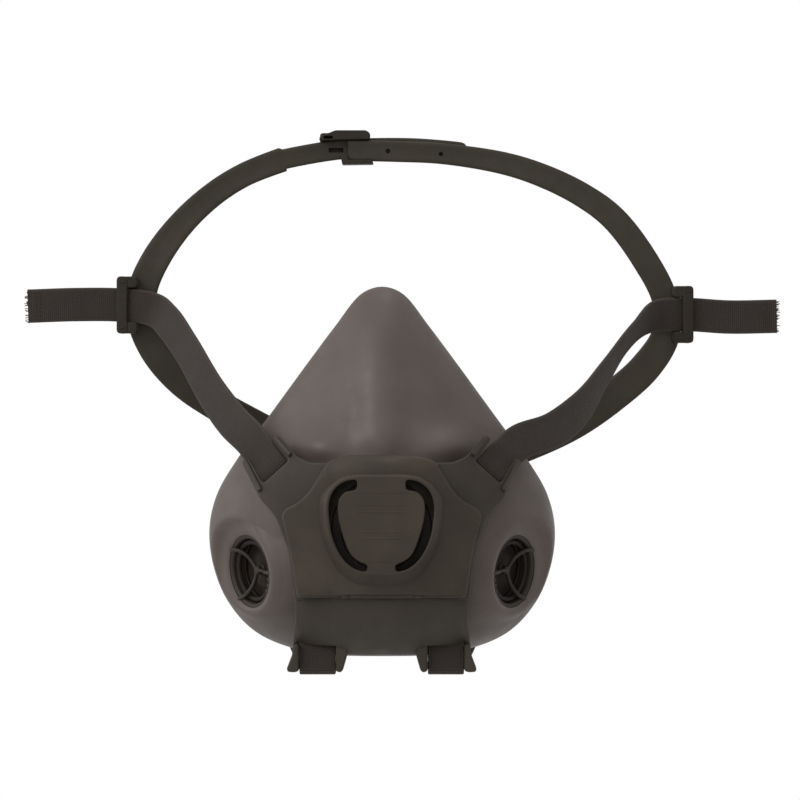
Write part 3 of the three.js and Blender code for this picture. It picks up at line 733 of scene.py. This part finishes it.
def port_lip():
    """The lip stretched over a port's rim: a soft bead that runs out into the dished skin."""
    radii = [14.5, 15.2, 15.9, 16.7, 17.5, 18.3, 19.1]
    proud = [0.72, 0.7, 0.56, 0.34, 0.12, -0.1, -0.45]
    rim_side = [(13.8, 0.78), (13.2, 0.58), (12.95, 0.36), (13.1, 0.2), (14.2, 0.2)]
    pocket = [(16.2, -0.5), (16.3, -4.35), (14.35, -4.4), (14.35, -6.9), (18.6, -6.9)]
    rings = []
    for i, row in enumerate(softened(port_heights(radii, LIP_STEPS), 4)):
        top = [(r, height + step) for r, height, step in zip(radii, row, proud)]
        profile = [(19.3, min(-2.2, row[-1] - 1.4))] + top[::-1] + rim_side + pocket
        rings.append([polar(r, 360 * i / LIP_STEPS, s) for r, s in profile])
    return loft(rings, loop=True)


def build_facepiece():
    holes = [at_port(rod(16.9, -40, 25, 72), side) for _, side in SIDES]
    holes.append(rod(17.5, 45, 90, 72).placed(VALVE_PLACE))
    shell = cut_away(face_shell().mesh("facepiece_skin"), holes)
    finished(shell, SILICONE, "mask", "facepiece")
    lip = port_lip()
    for name, side in SIDES:
        at_port(lip, side).piece(f"port_lip_{name}", SILICONE, "mask", crease=60)


build_facepiece()


# ---- yoke


def bowed(x, z, radius):
    """How far a front plate falls back towards its sides and its top."""
    return x * x / (2 * radius) + max(0.0, z) ** 2 / 200


def yoke_front(x, z):
    return YOKE_Y + bowed(x, z, YOKE_SIDE_RADIUS)


def apron_front(x, z):
    return YOKE_Y + bowed(x, 0, YOKE_SIDE_RADIUS) + APRON_STEP + max(0.0, SEAM_Z - z) ** 2 / 30


UPPER_OUTLINE = mirrored([
    (12, 17.4), (18.8, 14.7), (24.8, 14.8), (29.4, 16.8), (36.2, 24.4), (38.4, 23.2), (32.4, 15.4),
    (41.6, 7.2), (47, 16.4), (49.4, 14.8), (42.6, 2), (37, -4), (32.4, -16), (30.4, -33),
])
APRON_OUTLINE = mirrored([
    (12, -30.5), (30.1, -30.5), (30, -40), (31.4, -51), (30.2, -52.6), (29.6, -49.4), (15.4, -49.4),
    (14.4, -52.8),
])
LOOP_LUGS = (
    ((31.0, -49.0), (28.9, -48.6), (28.9, -58.2), (30.4, -58.7), (32.8, -58.5), (33.2, -57.4), (31.3, -52.4)),
    ((16.1, -48.6), (12.0, -49.6), (12.0, -52.6), (13.5, -57.9), (14.5, -58.8), (16.1, -58.2)),
)
WING_RIBS = (((31.6, 17.2), (34.4, 20.2), (37.0, 23.4)), ((42.4, 4.8), (45.2, 10), (48.0, 15.2)))


def skirt(outline, front, thickness, start, end):
    """The wall behind a panel's edge."""
    corners = ((0.12, start), (thickness, start), (thickness, end), (0.12, end))
    return loft([raised(offset(outline, inset), front, depth) for inset, depth in corners], loop=True)


def build_yoke():
    opening = np.array([(x, DOME_Z + z) for x, _, z in circle(VALVE_OPENING, 0, 72)])
    body = Build()
    for outline, front, corner, edge, holes, depth in (
            (UPPER_OUTLINE, yoke_front, 1.2, 0.6, [opening], 4.4),
            (APRON_OUTLINE, apron_front, 1.0, 0.55, [], 3.6)):
        cut = rounded(outline, corner)
        body.merge(panel(cut, front, lambda x, z: front(x, z) + YOKE_WALL, edge, holes, 1.6))
        body.merge(skirt(cut, front, 1.1, 1.2, depth))
    for _, side in SIDES:
        for rib in WING_RIBS:
            line = [(side * x, yoke_front(x, z) - 0.15, z) for x, z in rib]
            body.merge(bar(centripetal(line, steps=4), 0.95, 1.25, up=(0, 1, 0), square=3))
        for lug in LOOP_LUGS:
            outline = rounded([(side * x, z) for x, z in lug], 0.9)
            body.merge(panel(outline, level(BAR_Y - 5.4), level(BAR_Y + 2.6), 0.8, back_round=0.8))
        rod_line = [(side * (LOOP_X + s), BAR_Y, BAR_Z) for s in np.linspace(-9, 9, 7)]
        body.merge(bar(rod_line, BAR_RADIUS, sides=20, square=2))
        ear = [(side * (EAR_X + s), HINGE_Y, HINGE_Z) for s in (-1.3, 0, 1.3)]
        body.merge(bar(ear, 1.0, sides=20, square=2))
        root = [(side * EAR_X, HINGE_Y + s, HINGE_Z) for s in (0.2, 1.6, 3.0)]
        body.merge(bar(root, 1.25, 0.95, square=6))
    hinge_rib = [(x, yoke_front(x, -31) + 2.7, -31.4) for x in np.linspace(-15, 15, 9)]
    body.merge(bar(hinge_rib, 1.0, 2.4, up=(0, 1, 0), square=5))
    body.piece("yoke_frame", YOKE, "mask", "yoke")


# ---- latch cover


ROOF_Z = 13.6
ROOF_SLOPE = 0.5


def cover_front(x, z):
    return COVER_Y + bowed(x, z, COVER_SIDE_RADIUS) + ROOF_SLOPE * max(0.0, z - ROOF_Z)


def cover_back(x, z):
    return yoke_front(x, max(z, SEAM_Z)) - 0.5


COVER_OUTLINE = mirrored([(12, 17.2), (18.2, 15.8), (26.6, 2.2), (35.2, -2), (32, -14), (29.2, -31.9)])
COVER_CORNERS = [1.5, 2.5, 7.0, 3.6, 5.0, 1.5]
VENT_OUTER = centripetal(mirrored([
    (0, 9.3), (8.8, 9.2), (13.0, 8.3), (16.4, 5.4), (18.0, 1.2), (17.9, -4.2), (16.5, -11.6), (12.9, -18.4),
    (8.9, -21.6), (4.7, -22.6), (0, -22.8),
]), closed=True, steps=8)
VENT_INNER = centripetal(mirrored([
    (0, 5.6), (8.6, 5.5), (12.2, 5.0), (14.5, 2.6), (15.0, -0.3), (14.5, -5.3), (12.7, -11.6), (10.4, -16.8),
    (7.8, -18.9), (4.7, -20), (0, -20.2),
]), closed=True, steps=8)
BOSS_RIM = 1.1
PLATE_RIBS = ((0.6, 8.6), (-1.9, 8.2), (-8.8, 7.2), (-11.0, 6.6))
PLATE_LINES = ((4.6, 9.0), (-19.1, 4.5))
TOP_BRIDGE = 8.3
BOTTOM_BRIDGE = 4.5


def vent(side):
    """One C-shaped slot, between the boss's rim and its plate, that stops short of the two bridges."""
    def right_half(outline):
        keep = [p for p in resampled(outline, 260, closed=True)
                if p[0] > (TOP_BRIDGE if p[1] > -9 else BOTTOM_BRIDGE)]
        return np.array(sorted(keep, key=lambda p: math.atan2(p[0], p[1] + 8)))
    outer, inner = right_half(VENT_OUTER), right_half(VENT_INNER)
    ring = softened(resampled(np.vstack([outer, inner[::-1]]), 120, closed=True), 3)
    return ring * (side, 1)


def build_cover():
    boss = resampled(offset(VENT_OUTER, -BOSS_RIM), 130, closed=True)
    cover = rounded(COVER_OUTLINE, COVER_CORNERS + COVER_CORNERS[::-1])
    body = panel(cover, cover_front, cover_back, 0.7, [offset(boss, 0.8)], 1.6)
    vents = [vent(1), vent(-1)]
    body.merge(panel(boss, level(BOSS_Y), level(BOSS_Y + 2.0), 0.42, vents, 2.4, back_round=0.2))
    spread = np.clip((10 - boss[:, 1]) / 7, 0.3, 1)
    drop = np.clip((-boss[:, 1] - 12) / 12, 0, 1)
    outward = offset(boss, -1) - boss
    foot = boss + outward * 2.5 * spread[:, None] - np.column_stack([0 * drop, 1.7 * drop])
    inner = offset(boss, 0.8)
    plate = level(BOSS_Y)
    body.merge(loft([
        raised(inner, plate, 1.4), raised(offset(boss, 0.15), plate, 0.8),
        raised(boss + outward * 0.3, plate, 1.4),
        raised(foot, cover_front, 0.3), raised(inner, cover_front, 1.6),
    ], loop=True))
    for rows, proud, deep, wide, square in (
            (PLATE_RIBS, 0.06, 0.16, 0.42, 3), (PLATE_LINES, 0.04, 0.14, 0.16, 2)):
        for z, reach in rows:
            line = [(x, BOSS_Y + proud, z) for x in np.linspace(-reach, reach, 9)]
            body.merge(bar(line, deep, wide, square=square))
    barrel = [(x, HINGE_Y, HINGE_Z) for x in np.linspace(-11, 11, 5)]
    body.merge(bar(barrel, 1.0, sides=24, square=2))
    root = [(x, HINGE_Y - 0.8, HINGE_Z + 0.45) for x in np.linspace(-10.8, 10.8, 5)]
    body.merge(bar(root, 0.9, 1.2, square=5))
    body.piece("valve_cover", COVER, "latch", "latch_cover")


build_yoke()
build_cover()


# ---- cartridge ports

SPOKES = ((38, 16), (180, 0), (306, -14))
LUGS = (100, 220, 340)
KNURLS = (181, 191, 201, 211)


def port_ring():
    profile = [
        (PORT_BORE, -9), (PORT_RADIUS, -9), (PORT_RADIUS, -8.5), (PORT_FLANGE, -8.5), (PORT_FLANGE, -7.3),
        (PORT_RADIUS, -7.3), (PORT_RADIUS, -4.2), (PORT_FLANGE, -4.2), (PORT_FLANGE, -3), (PORT_RADIUS, -3),
        (PORT_RADIUS, -0.1), (PORT_RADIUS - 0.5, 0.15), (12.1, 0.15), (PORT_BORE, -0.4),
        (PORT_BORE, -4.2), (FLAP_SEAT, -4.4), (FLAP_SEAT, -5.1), (PORT_BORE, -5.2),
    ]
    body = turned(profile, 0.3, 96)
    path = ((0.3, -3.0), (3, -2.9), (6, -1.9), (9, -0.45), (11.2, 0.05), (12.2, 0.25), (13.4, 0.3))
    for angle, sweep in SPOKES:
        line = [polar(r, angle + sweep * math.sin(math.pi * r / 12), s) for r, s in path]
        body.merge(bar(centripetal(line, steps=4), 0.7, 0.62, up=(0, 1, 0), sides=14))
    hub = [(0, -5.2), (1.9, -5.2), (2.0, -4.9), (1.5, -4.5), (1.5, -2.9), (1.1, -2.45), (0, -2.35)]
    body.merge(turned_solid(hub, 32))
    body.merge(rod(0.9, -9, -5, 24))
    for angle in LUGS:
        lug = [polar(PORT_RADIUS + 0.7, angle + turn, -1.3) for turn in np.linspace(-6, 6, 5)]
        body.merge(bar(lug, 0.85, 0.9, up=(0, 1, 0), square=4))
    for angle in KNURLS:
        ridge = [polar(r, angle, s) for r, s in ((11.9, 0.1), (12.6, 0.35), (13.6, 0.3))]
        body.merge(bar(ridge, 0.75, 0.5, up=(0, 1, 0), square=2.2))
    return body


def build_ports():
    flap = turned([
        (1.3, -6.1), (10.8, -6.1), (10.8, -5.6), (9.6, -5.35), (9.2, -5.55), (6.4, -5.4), (6.1, -5.2),
        (5.8, -5.4), (1.3, -5.3),
    ], 0.15, 72)
    gasket = turned([(9.4, -2.7), (10.95, -2.7), (10.95, -1.3), (10.3, -1.1), (9.4, -1.5)], 0.25, 72)
    ring = port_ring()
    for name, side in SIDES:
        at_port(ring, side).piece(f"port_{name}", PORT, "mask", f"cartridge_port_{name}")
        at_port(flap, side).piece(f"inlet_flap_{name}", VALVE, f"inhalation_flap_{name}",
                                  f"inhalation_valve_{name}")
        at_port(gasket, side).piece(f"gasket_{name}", GASKET, "mask", f"port_gasket_{name}")


# ---- exhalation valve


def build_valve():
    seat = turned([
        (14.6, 54.9), (20, 54.9), (20, 56.6), (17.2, 56.6), (17.2, 65), (18.8, 65), (18.8, 66.2),
        (17.2, 66.2), (17.2, 69.6), (12.8, 69.6), (12.8, 68.4), (14.6, 68.4),
    ], 0.25, 96)
    seat.merge(turned([(13.3, 69.5), (14.3, 69.5), (14.1, 69.9), (13.5, 69.9)], None, 96))
    for angle in (90, 210, 330):
        arm = [polar(r, angle, 69.0) for r in (1.6, 6, 10, 13.6)]
        seat.merge(bar(arm, 1.0, 0.75, up=(0, 1, 0), square=3.4))
    seat.merge(turned([(1.4, 68.3), (3.2, 68.3), (3.2, 69.8), (1.4, 69.8)], 0.2, 40))
    seat.placed(VALVE_PLACE).piece("valve_seat", PORT, "mask", "exhalation_valve_seat")
    flap = turned_solid([
        (0, 70.2), (12.6, 70.2), (14.0, 70.35), (14.2, 70.6), (14.0, 70.85), (12.6, 70.8), (11.8, 71.05),
        (11.0, 70.8), (6.4, 70.85), (5.9, 71.1), (5.4, 70.85), (2.4, 70.9), (1.9, 71.3), (0, 71.3),
    ], 96)
    stem = [(0, 66.0), (0.9, 66.1), (1.0, 66.6), (1.0, 70.4), (0, 70.4)]
    barb = [(0, 64.2), (0.7, 64.4), (1.5, 65.0), (2.1, 65.7), (1.6, 66.3), (0.8, 66.9), (0, 66.9)]
    for profile in (stem, barb):
        flap.merge(turned_solid(profile, 28))
    flap.placed(VALVE_PLACE).piece("outlet_flap", VALVE, "exhalation_flap", "exhalation_valve")


# ---- webbing

# A point of the strap's middle line, then the direction across the strap there.
UPPER_STRAPS = {
    "left": [
        (34.2, -56.6, 8.4, -0.7, -0.35, 0.63), (37.6, -57.4, 12.0, -0.7, -0.35, 0.63),
        (42, -54.2, 16.2, -0.7, -0.32, 0.64), (48.4, -48.4, 21.6, -0.7, -0.3, 0.65),
        (60.7, -37, 25.8, -0.6, -0.25, 0.74), (72.2, -18, 34.3, -0.3, -0.4, 0.86),
        (81.6, 4, 46.2, -0.02, -0.5, 0.86), (92.2, 26, 60, 0.16, -0.56, 0.81),
        (101.5, 39, 67.8, 0.12, -0.3, 0.95), (114.5, 44.5, 68.8, 0, 0, 1), (131, 45.6, 67.9, 0, 0, 1),
        (149, 46, 68.2, 0, 0, 1),
    ],
    "right": [
        (-34.2, -56.6, 8.4, 0.7, -0.35, 0.63), (-37.6, -57.4, 12.0, 0.7, -0.35, 0.63),
        (-41.2, -54.4, 16.0, 0.7, -0.32, 0.64), (-46, -48.8, 22.4, 0.7, -0.3, 0.65),
        (-52.8, -38, 28.7, 0.7, -0.2, 0.7), (-61.7, -18, 39.4, 0.55, -0.2, 0.8),
        (-71.9, 8, 54.9, 0.46, -0.2, 0.86), (-80.2, 27, 65.6, 0.42, 0, 0.9),
        (-87.3, 41.2, 70.8, 0.3, 0, 0.95), (-99, 44.5, 72.4, 0, 0, 1), (-116, 45.4, 72.6, 0, 0, 1),
        (-134.4, 46, 72, 0, 0, 1),
    ],
}


def frayed_end(stations, seed):
    """Short loose threads along a strap's cut end, and two rows of stitches just before it."""
    random = np.random.default_rng(seed)
    rows = np.array(stations[:-3:-1], float)
    end, before, across = rows[0, :3], rows[1, :3], rows[0, 3:]
    along = (end - before) / norm(end - before)
    across = across - along * np.dot(across, along)
    across /= norm(across)
    out = np.cross(along, across)
    threads = Build()
    for k in range(34):
        start = end - along * 0.5 + across * (random.uniform(-0.48, 0.48) * WEBBING)
        start += out * random.uniform(-0.4, 0.4)
        reach = random.uniform(0.5, 1.9)
        bend = across * random.uniform(-0.45, 0.45) + out * random.uniform(-0.3, 0.3)
        line = [start, start + along * reach * 0.6 + bend * 0.4, start + along * reach + bend]
        threads.merge(bar(line, 0.15, up=out, sides=6, square=2))
    skin = out * (WEB_THICKNESS / 2 + 0.02)
    for row, k, face in itertools.product((3.0, 4.6), range(8), (-1, 1)):
        middle = end - along * row + across * (k - 3.5) * 1.45
        line = [middle + across * s + skin * face * rise for s, rise in ((-0.5, 0.9), (0, 1.12), (0.5, 0.9))]
        threads.merge(bar(line, 0.2, up=out, sides=8, square=2))
    return threads


def build_upper_straps():
    """Each strap is drawn in a little where it leaves its slot."""
    for seed, (name, stations) in enumerate(UPPER_STRAPS.items(), 5):
        widths = [11.6, 11.9, 12.3] + [WEBBING] * (len(stations) - 3)
        strap = ribbon([(s[:3], s[3:], w) for s, w in zip(stations, widths)], WEB_THICKNESS, 16)
        made = strap.piece(f"head_strap_{name}", WEB, None, f"upper_strap_{name}")
        start, end = (tuple(np.array(stations[k][:3]) * MM) for k in (1, 4))
        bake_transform(made)
        frayed_end(stations, seed).piece(f"strap_threads_{name}", THREAD, "head_harness")


def build_strap_runs():
    """The webbing under the yoke, from the wing's slot down to the bottom loop."""
    lie = YOKE_WALL + 0.9 + WEB_THICKNESS / 2
    places = [(33.4, 7, 0.74, -0.68), (30.6, 1, 0.93, -0.36), (27.4, -8, 1, -0.12), (25.8, -20, 1, -0.05),
              (24.2, -34, 1, -0.08), (22.8, -44.5, 1, 0)]
    for name, side in SIDES:
        stations = []
        for x, z, a, b in places:
            front = yoke_front(x, z) if z > SEAM_Z else apron_front(x, z) - APRON_STEP * 0.2 + 0.5
            stations.append(((side * x, front + lie, z), (side * a, x / YOKE_SIDE_RADIUS * a, b), WEBBING))
        strap = ribbon(stations, WEB_THICKNESS, 12)
        strap.piece(f"hidden_strap_{name}", WEB, "mask", f"strap_run_{name}")


def build_neck_straps():
    """Down behind the apron, round under the loop's bar and back to the clip."""
    reach = BAR_RADIUS + 0.4 + WEB_THICKNESS / 2
    wrap = [(BAR_Y + reach * math.cos(a), BAR_Z + reach * math.sin(a))
            for a in map(math.radians, (180, 207, 232, 256))]
    down = [(-53.6, -43.5), (-54.4, -48.6), (-55.3, -53.0)]
    back = [(22.6, -46, -59.6, 1, 0), (22.8, -30, -60, 1, 0), (25, -4, -59.4, 1, 0.12),
            (32, 26, -51, 0.8, 0.6), (36, 50, -42, 0.3, 0.95), (31, 68, -37.5, 0, 1), (15, 78, -36, 0, 1)]
    for name, side in SIDES:
        line = [(LOOP_X, y, z, 1, 0) for y, z in down + wrap] + back
        stations = [((side * x, y, z), (side * a, 0, b), WEBBING) for x, y, z, a, b in line]
        strap = ribbon(stations, WEB_THICKNESS, 12)
        made = strap.piece(f"neck_webbing_{name}", WEB, None, f"neck_strap_{name}")
        start, end = ((side * LOOP_X * MM, y, z) for y, z in ((-0.0554, -0.0532), (-0.051, -0.0595)))
        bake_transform(made)
        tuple(start)
        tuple(end)


# ---- buckles and clip


def rectangle(x0, x1, z0, z1, radius, steps=5):
    return rounded([(x0, z1), (x1, z1), (x1, z0), (x0, z0)], radius, steps)


def block(x0, x1, y0, y1, z0, z1, corner=0.8, edge=0.4, holes=(), back_edge=None):
    """A rounded block whose front faces -Y, with optional holes through it."""
    return panel(rectangle(x0, x1, z0, z1, corner), level(y0), level(y1), edge, holes, 3.0,
                 back_round=back_edge or edge)


BUCKLE_BAR = 4.2
BUCKLE_ARM = 4.4
BUCKLE_REACH = 2.0


def build_side_buckles():
    """Each buckle: a bar in front of the webbing, a bar behind it, and an arm at either end of the two."""
    for name, side in SIDES:
        low, high = (Vector(c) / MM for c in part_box(f"side_buckle_{name}"))
        bars = (high.x - BUCKLE_BAR, high.x) if side > 0 else (low.x, low.x + BUCKLE_BAR)
        arms = (low.x - BUCKLE_REACH, high.x) if side > 0 else (low.x, high.x + BUCKLE_REACH)
        body = block(*bars, low.y, low.y + 1.4, low.z, high.z, 1.7, 0.5)
        body.merge(block(*bars, high.y - 1.4, high.y, low.z, high.z, 1.7, 0.5))
        for z in (low.z + BUCKLE_ARM / 2, high.z - BUCKLE_ARM / 2):
            half = BUCKLE_ARM / 2 - 0.05
            body.merge(block(*arms, low.y + 0.25, high.y - 0.1, z - half, z + half, 1.5, 0.6))
            grip = [(x, low.y - 0.02, z) for x in np.linspace(bars[0] + 1.2, bars[1] - 1.2, 5)]
            body.merge(bar(grip, 0.28, 0.5, square=2.4))
        body.piece(f"strap_buckle_{name}", BUCKLE, "head_harness", f"side_buckle_{name}")


def build_neck_clip():
    slot = rectangle(9.4, 13, -42.8, -29.2, 0.7)
    tongue = block(1, 14, 75.2, 80.8, -43.5, -28.5, 2.2, 0.7, [slot])
    tongue.merge(block(-8, 2, 77.2, 78.8, -40, -32, 1.6, 0.3))
    for x in (3.2, 4.8, 6.4):
        tongue.merge(bar([(x, 80.75, z) for z in (-40.4, -38, -34, -31.6)], 0.45, 0.3, up=(0, 1, 0)))
    tongue.piece("clip_tongue", BUCKLE, "neck_harness", "neck_clip_tongue")
    slot = rectangle(-13, -9.6, -42.8, -29.2, 0.7)
    window = rectangle(-7.6, -3.4, -38.6, -33.4, 0.6)
    socket = block(-14, -1, 75.2, 76.7, -43.5, -28.5, 2.2, 0.6, [slot], 0.1)
    socket.merge(block(-14, -1, 79.3, 80.8, -43.5, -28.5, 2.2, 0.1, [slot, window], 0.6))
    for z0, z1 in ((-31.4, -28.7), (-43.3, -40.6)):
        socket.merge(block(-14, -1, 76.5, 79.5, z0, z1, 1.2, 0.1))
    socket.merge(block(-9.6, -8.7, 76.5, 79.5, -41, -31, 0.3, 0.1))
    socket.piece("clip_socket", BUCKLE, "neck_harness", "neck_clip_socket")


# ---- head cradle

CRADLE_MIDDLE = (8, 72)
CRADLE_HALF = (97, 64)
CRADLE_PATH = [
    (31.8, 57.9, 131.4, 3.2), (31, 57.9, 131.5, 5.4), (29.4, 57.9, 131.7, 6.6), (10, 57.9, 132.9, 7.3),
    (-17, 57.2, 132, 7.6), (-37.4, 55.7, 128.4, 7.7),
    (-38.6, 55.55, 128.05, 9.4), (-53, 53.8, 122.2, 9.2), (-65, 52, 114.4, 9.4), (-76.6, 50.6, 103.4, 10),
    (-86, 49.4, 90.4, 10.9), (-91, 48.9, 79, 11.2), (-91.8, 48.9, 67.4, 10.8), (-86.6, 50, 54.6, 10.8),
    (-76.6, 52, 43.4, 11.4), (-63, 55, 34.4, 12.2), (-45, 58.6, 24.6, 12), (-20, 61.6, 11.4, 10.4),
    (6.4, 62.6, 6.7, 10), (32, 61.6, 10, 10), (54.4, 58.6, 18.4, 11), (72.6, 55, 27.5, 12),
    (87.1, 52, 37.7, 12.1), (99.8, 49.8, 49.2, 12), (107.2, 48.9, 61.4, 10.9), (106.8, 48.9, 74.6, 9.8),
    (99.4, 49.4, 89.6, 10), (87.4, 50.6, 105.6, 9.8), (75.4, 52, 114.6, 9.4),
    (60.4, 53.4, 122, 9), (45.4, 54.6, 126.8, 8.6), (22, 55, 130.4, 8), (4, 55, 131.2, 8),
    (-13.4, 55, 131.6, 8),
]
FRONT_BAND_HOLES = ((1.8, 131.3, 0.95), (22, 130.2, 0.85))
FRONT_BAND_BACK = 56.2
BAND_WINDOW = (-20.8, -15.2, 130.9, 132.7)


def build_cradle():
    (middle_x, middle_z), (half_x, half_z) = CRADLE_MIDDLE, CRADLE_HALF
    stations = [((x, y, z), ((x - middle_x) / half_x, 0, (z - middle_z) / half_z), wide)
                for x, y, z, wide in CRADLE_PATH]
    section = band_section(0.86, 8, (1.0, 0.5, 0, -0.5, -1.0), 0.78)
    x0, x1, z0, z1 = BAND_WINDOW
    holes = [block(x0, x1, 50, 59, z0, z1, 0.3, 0.1)]
    for x, z, radius in FRONT_BAND_HOLES:
        holes.append(rod(radius, 40, FRONT_BAND_BACK, 24).placed(np.array(Matrix.Translation((x, 0, z)))))
    band = cut_away(ribbon(stations, CRADLE_THICKNESS, 10, section).mesh("cradle_band"), holes)
    finished(band, CRADLE, "head_harness", "head_cradle")


def build_crown_buckle():
    roof = [(-24.4, 135.2), (-24.2, 136.8), (-18.2, 139.2), (-6.4, 139.2), (-4.8, 137.8), (-5.3, 135.7),
            (-17.4, 135.5)]
    tab = [(-16.4, 130.0), (-13.6, 130.0), (-13.2, 127.9), (-4.2, 127.8), (-3.6, 126.4), (-15.6, 126.2)]
    slot = rectangle(-22.6, -19.2, 136.0, 136.9, 0.3)
    body = Build()
    for outline, corner, front, back, holes in ((roof, 0.8, 53.0, 60.9, [slot]), (tab, 0.6, 52.8, 60.6, [])):
        cut = rounded(outline, corner)
        body.merge(panel(cut, level(front), level(back), 0.35, holes, back_round=0.35))
    body.merge(block(-24.2, -5.6, 59.7, 61.0, 128.6, 138.6, 1.2, 0.35))
    body.piece("crown_slide", BUCKLE, "head_harness", "crown_buckle")


def finish_pin():
    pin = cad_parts["latch_hinge_pin"]
    pin.data.materials.clear()
    pin.data.materials.append(STEEL.material)


build_ports()
build_valve()
build_upper_straps()
build_strap_runs()
build_neck_straps()
build_side_buckles()
build_neck_clip()
build_cradle()
build_crown_buckle()
finish_pin()


# ---- floor, light and camera


def stage():
    reach, low = 12000, -1600
    corners = [(-reach, -reach, low), (reach, -reach, low), (reach, reach, low), (-reach, reach, low)]
    floor = Build().add(corners, [(0, 1, 2, 3)]).mesh("floor")
    pale = Finish("pale_floor", 0.9, 0.5, 0)
    pale.set("Base Color", (0.95, 0.95, 0.95, 1))
    floor.data.materials.append(pale.material)


def softbox(name, place, aim, width, height, power):
    data = bpy.data.lights.new(name, "AREA")
    data.shape, data.size, data.size_y, data.energy = "RECTANGLE", width, height, power
    light = linked(name, data)
    light.location = place
    light.rotation_euler = (Vector(aim) - Vector(place)).to_track_quat("-Z", "Y").to_euler()


def studio():
    world = bpy.data.worlds.new("studio")
    world.use_nodes = True
    background = world.node_tree.nodes["Background"]
    background.inputs["Color"].default_value = (1, 1, 1, 1)
    background.inputs["Strength"].default_value = 1.0
    bpy.context.scene.world = world
    softbox("key", (-1.0, -0.9, 0.9), (0, 0, 0.03), 0.7, 0.7, 15)
    softbox("top", (0.1, -0.1, 1.3), (0, 0, 0.03), 0.9, 0.5, 5)
    softbox("front", (-0.3, -1.7, 0.5), (0, 0, 0.03), 0.8, 0.8, 5)
    softbox("left_rim", (1.0, 0.2, 0.3), (0, 0, 0), 0.3, 0.9, 0.6)
    softbox("right_rim", (-1.0, 0.2, 0.3), (0, 0, 0), 0.3, 0.9, 3)


def camera():
    data = bpy.data.cameras.new("camera")
    data.lens, data.sensor_width = 160, 36
    data.clip_start, data.clip_end = 0.05, 30
    view = linked("camera", data)
    view.location = (0.0064, -1.3, 0.0365)
    view.rotation_euler = (math.pi / 2, 0, 0)
    bpy.context.scene.camera = view


stage()
studio()
camera()
bpy.context.scene.view_settings.view_transform = "Standard"
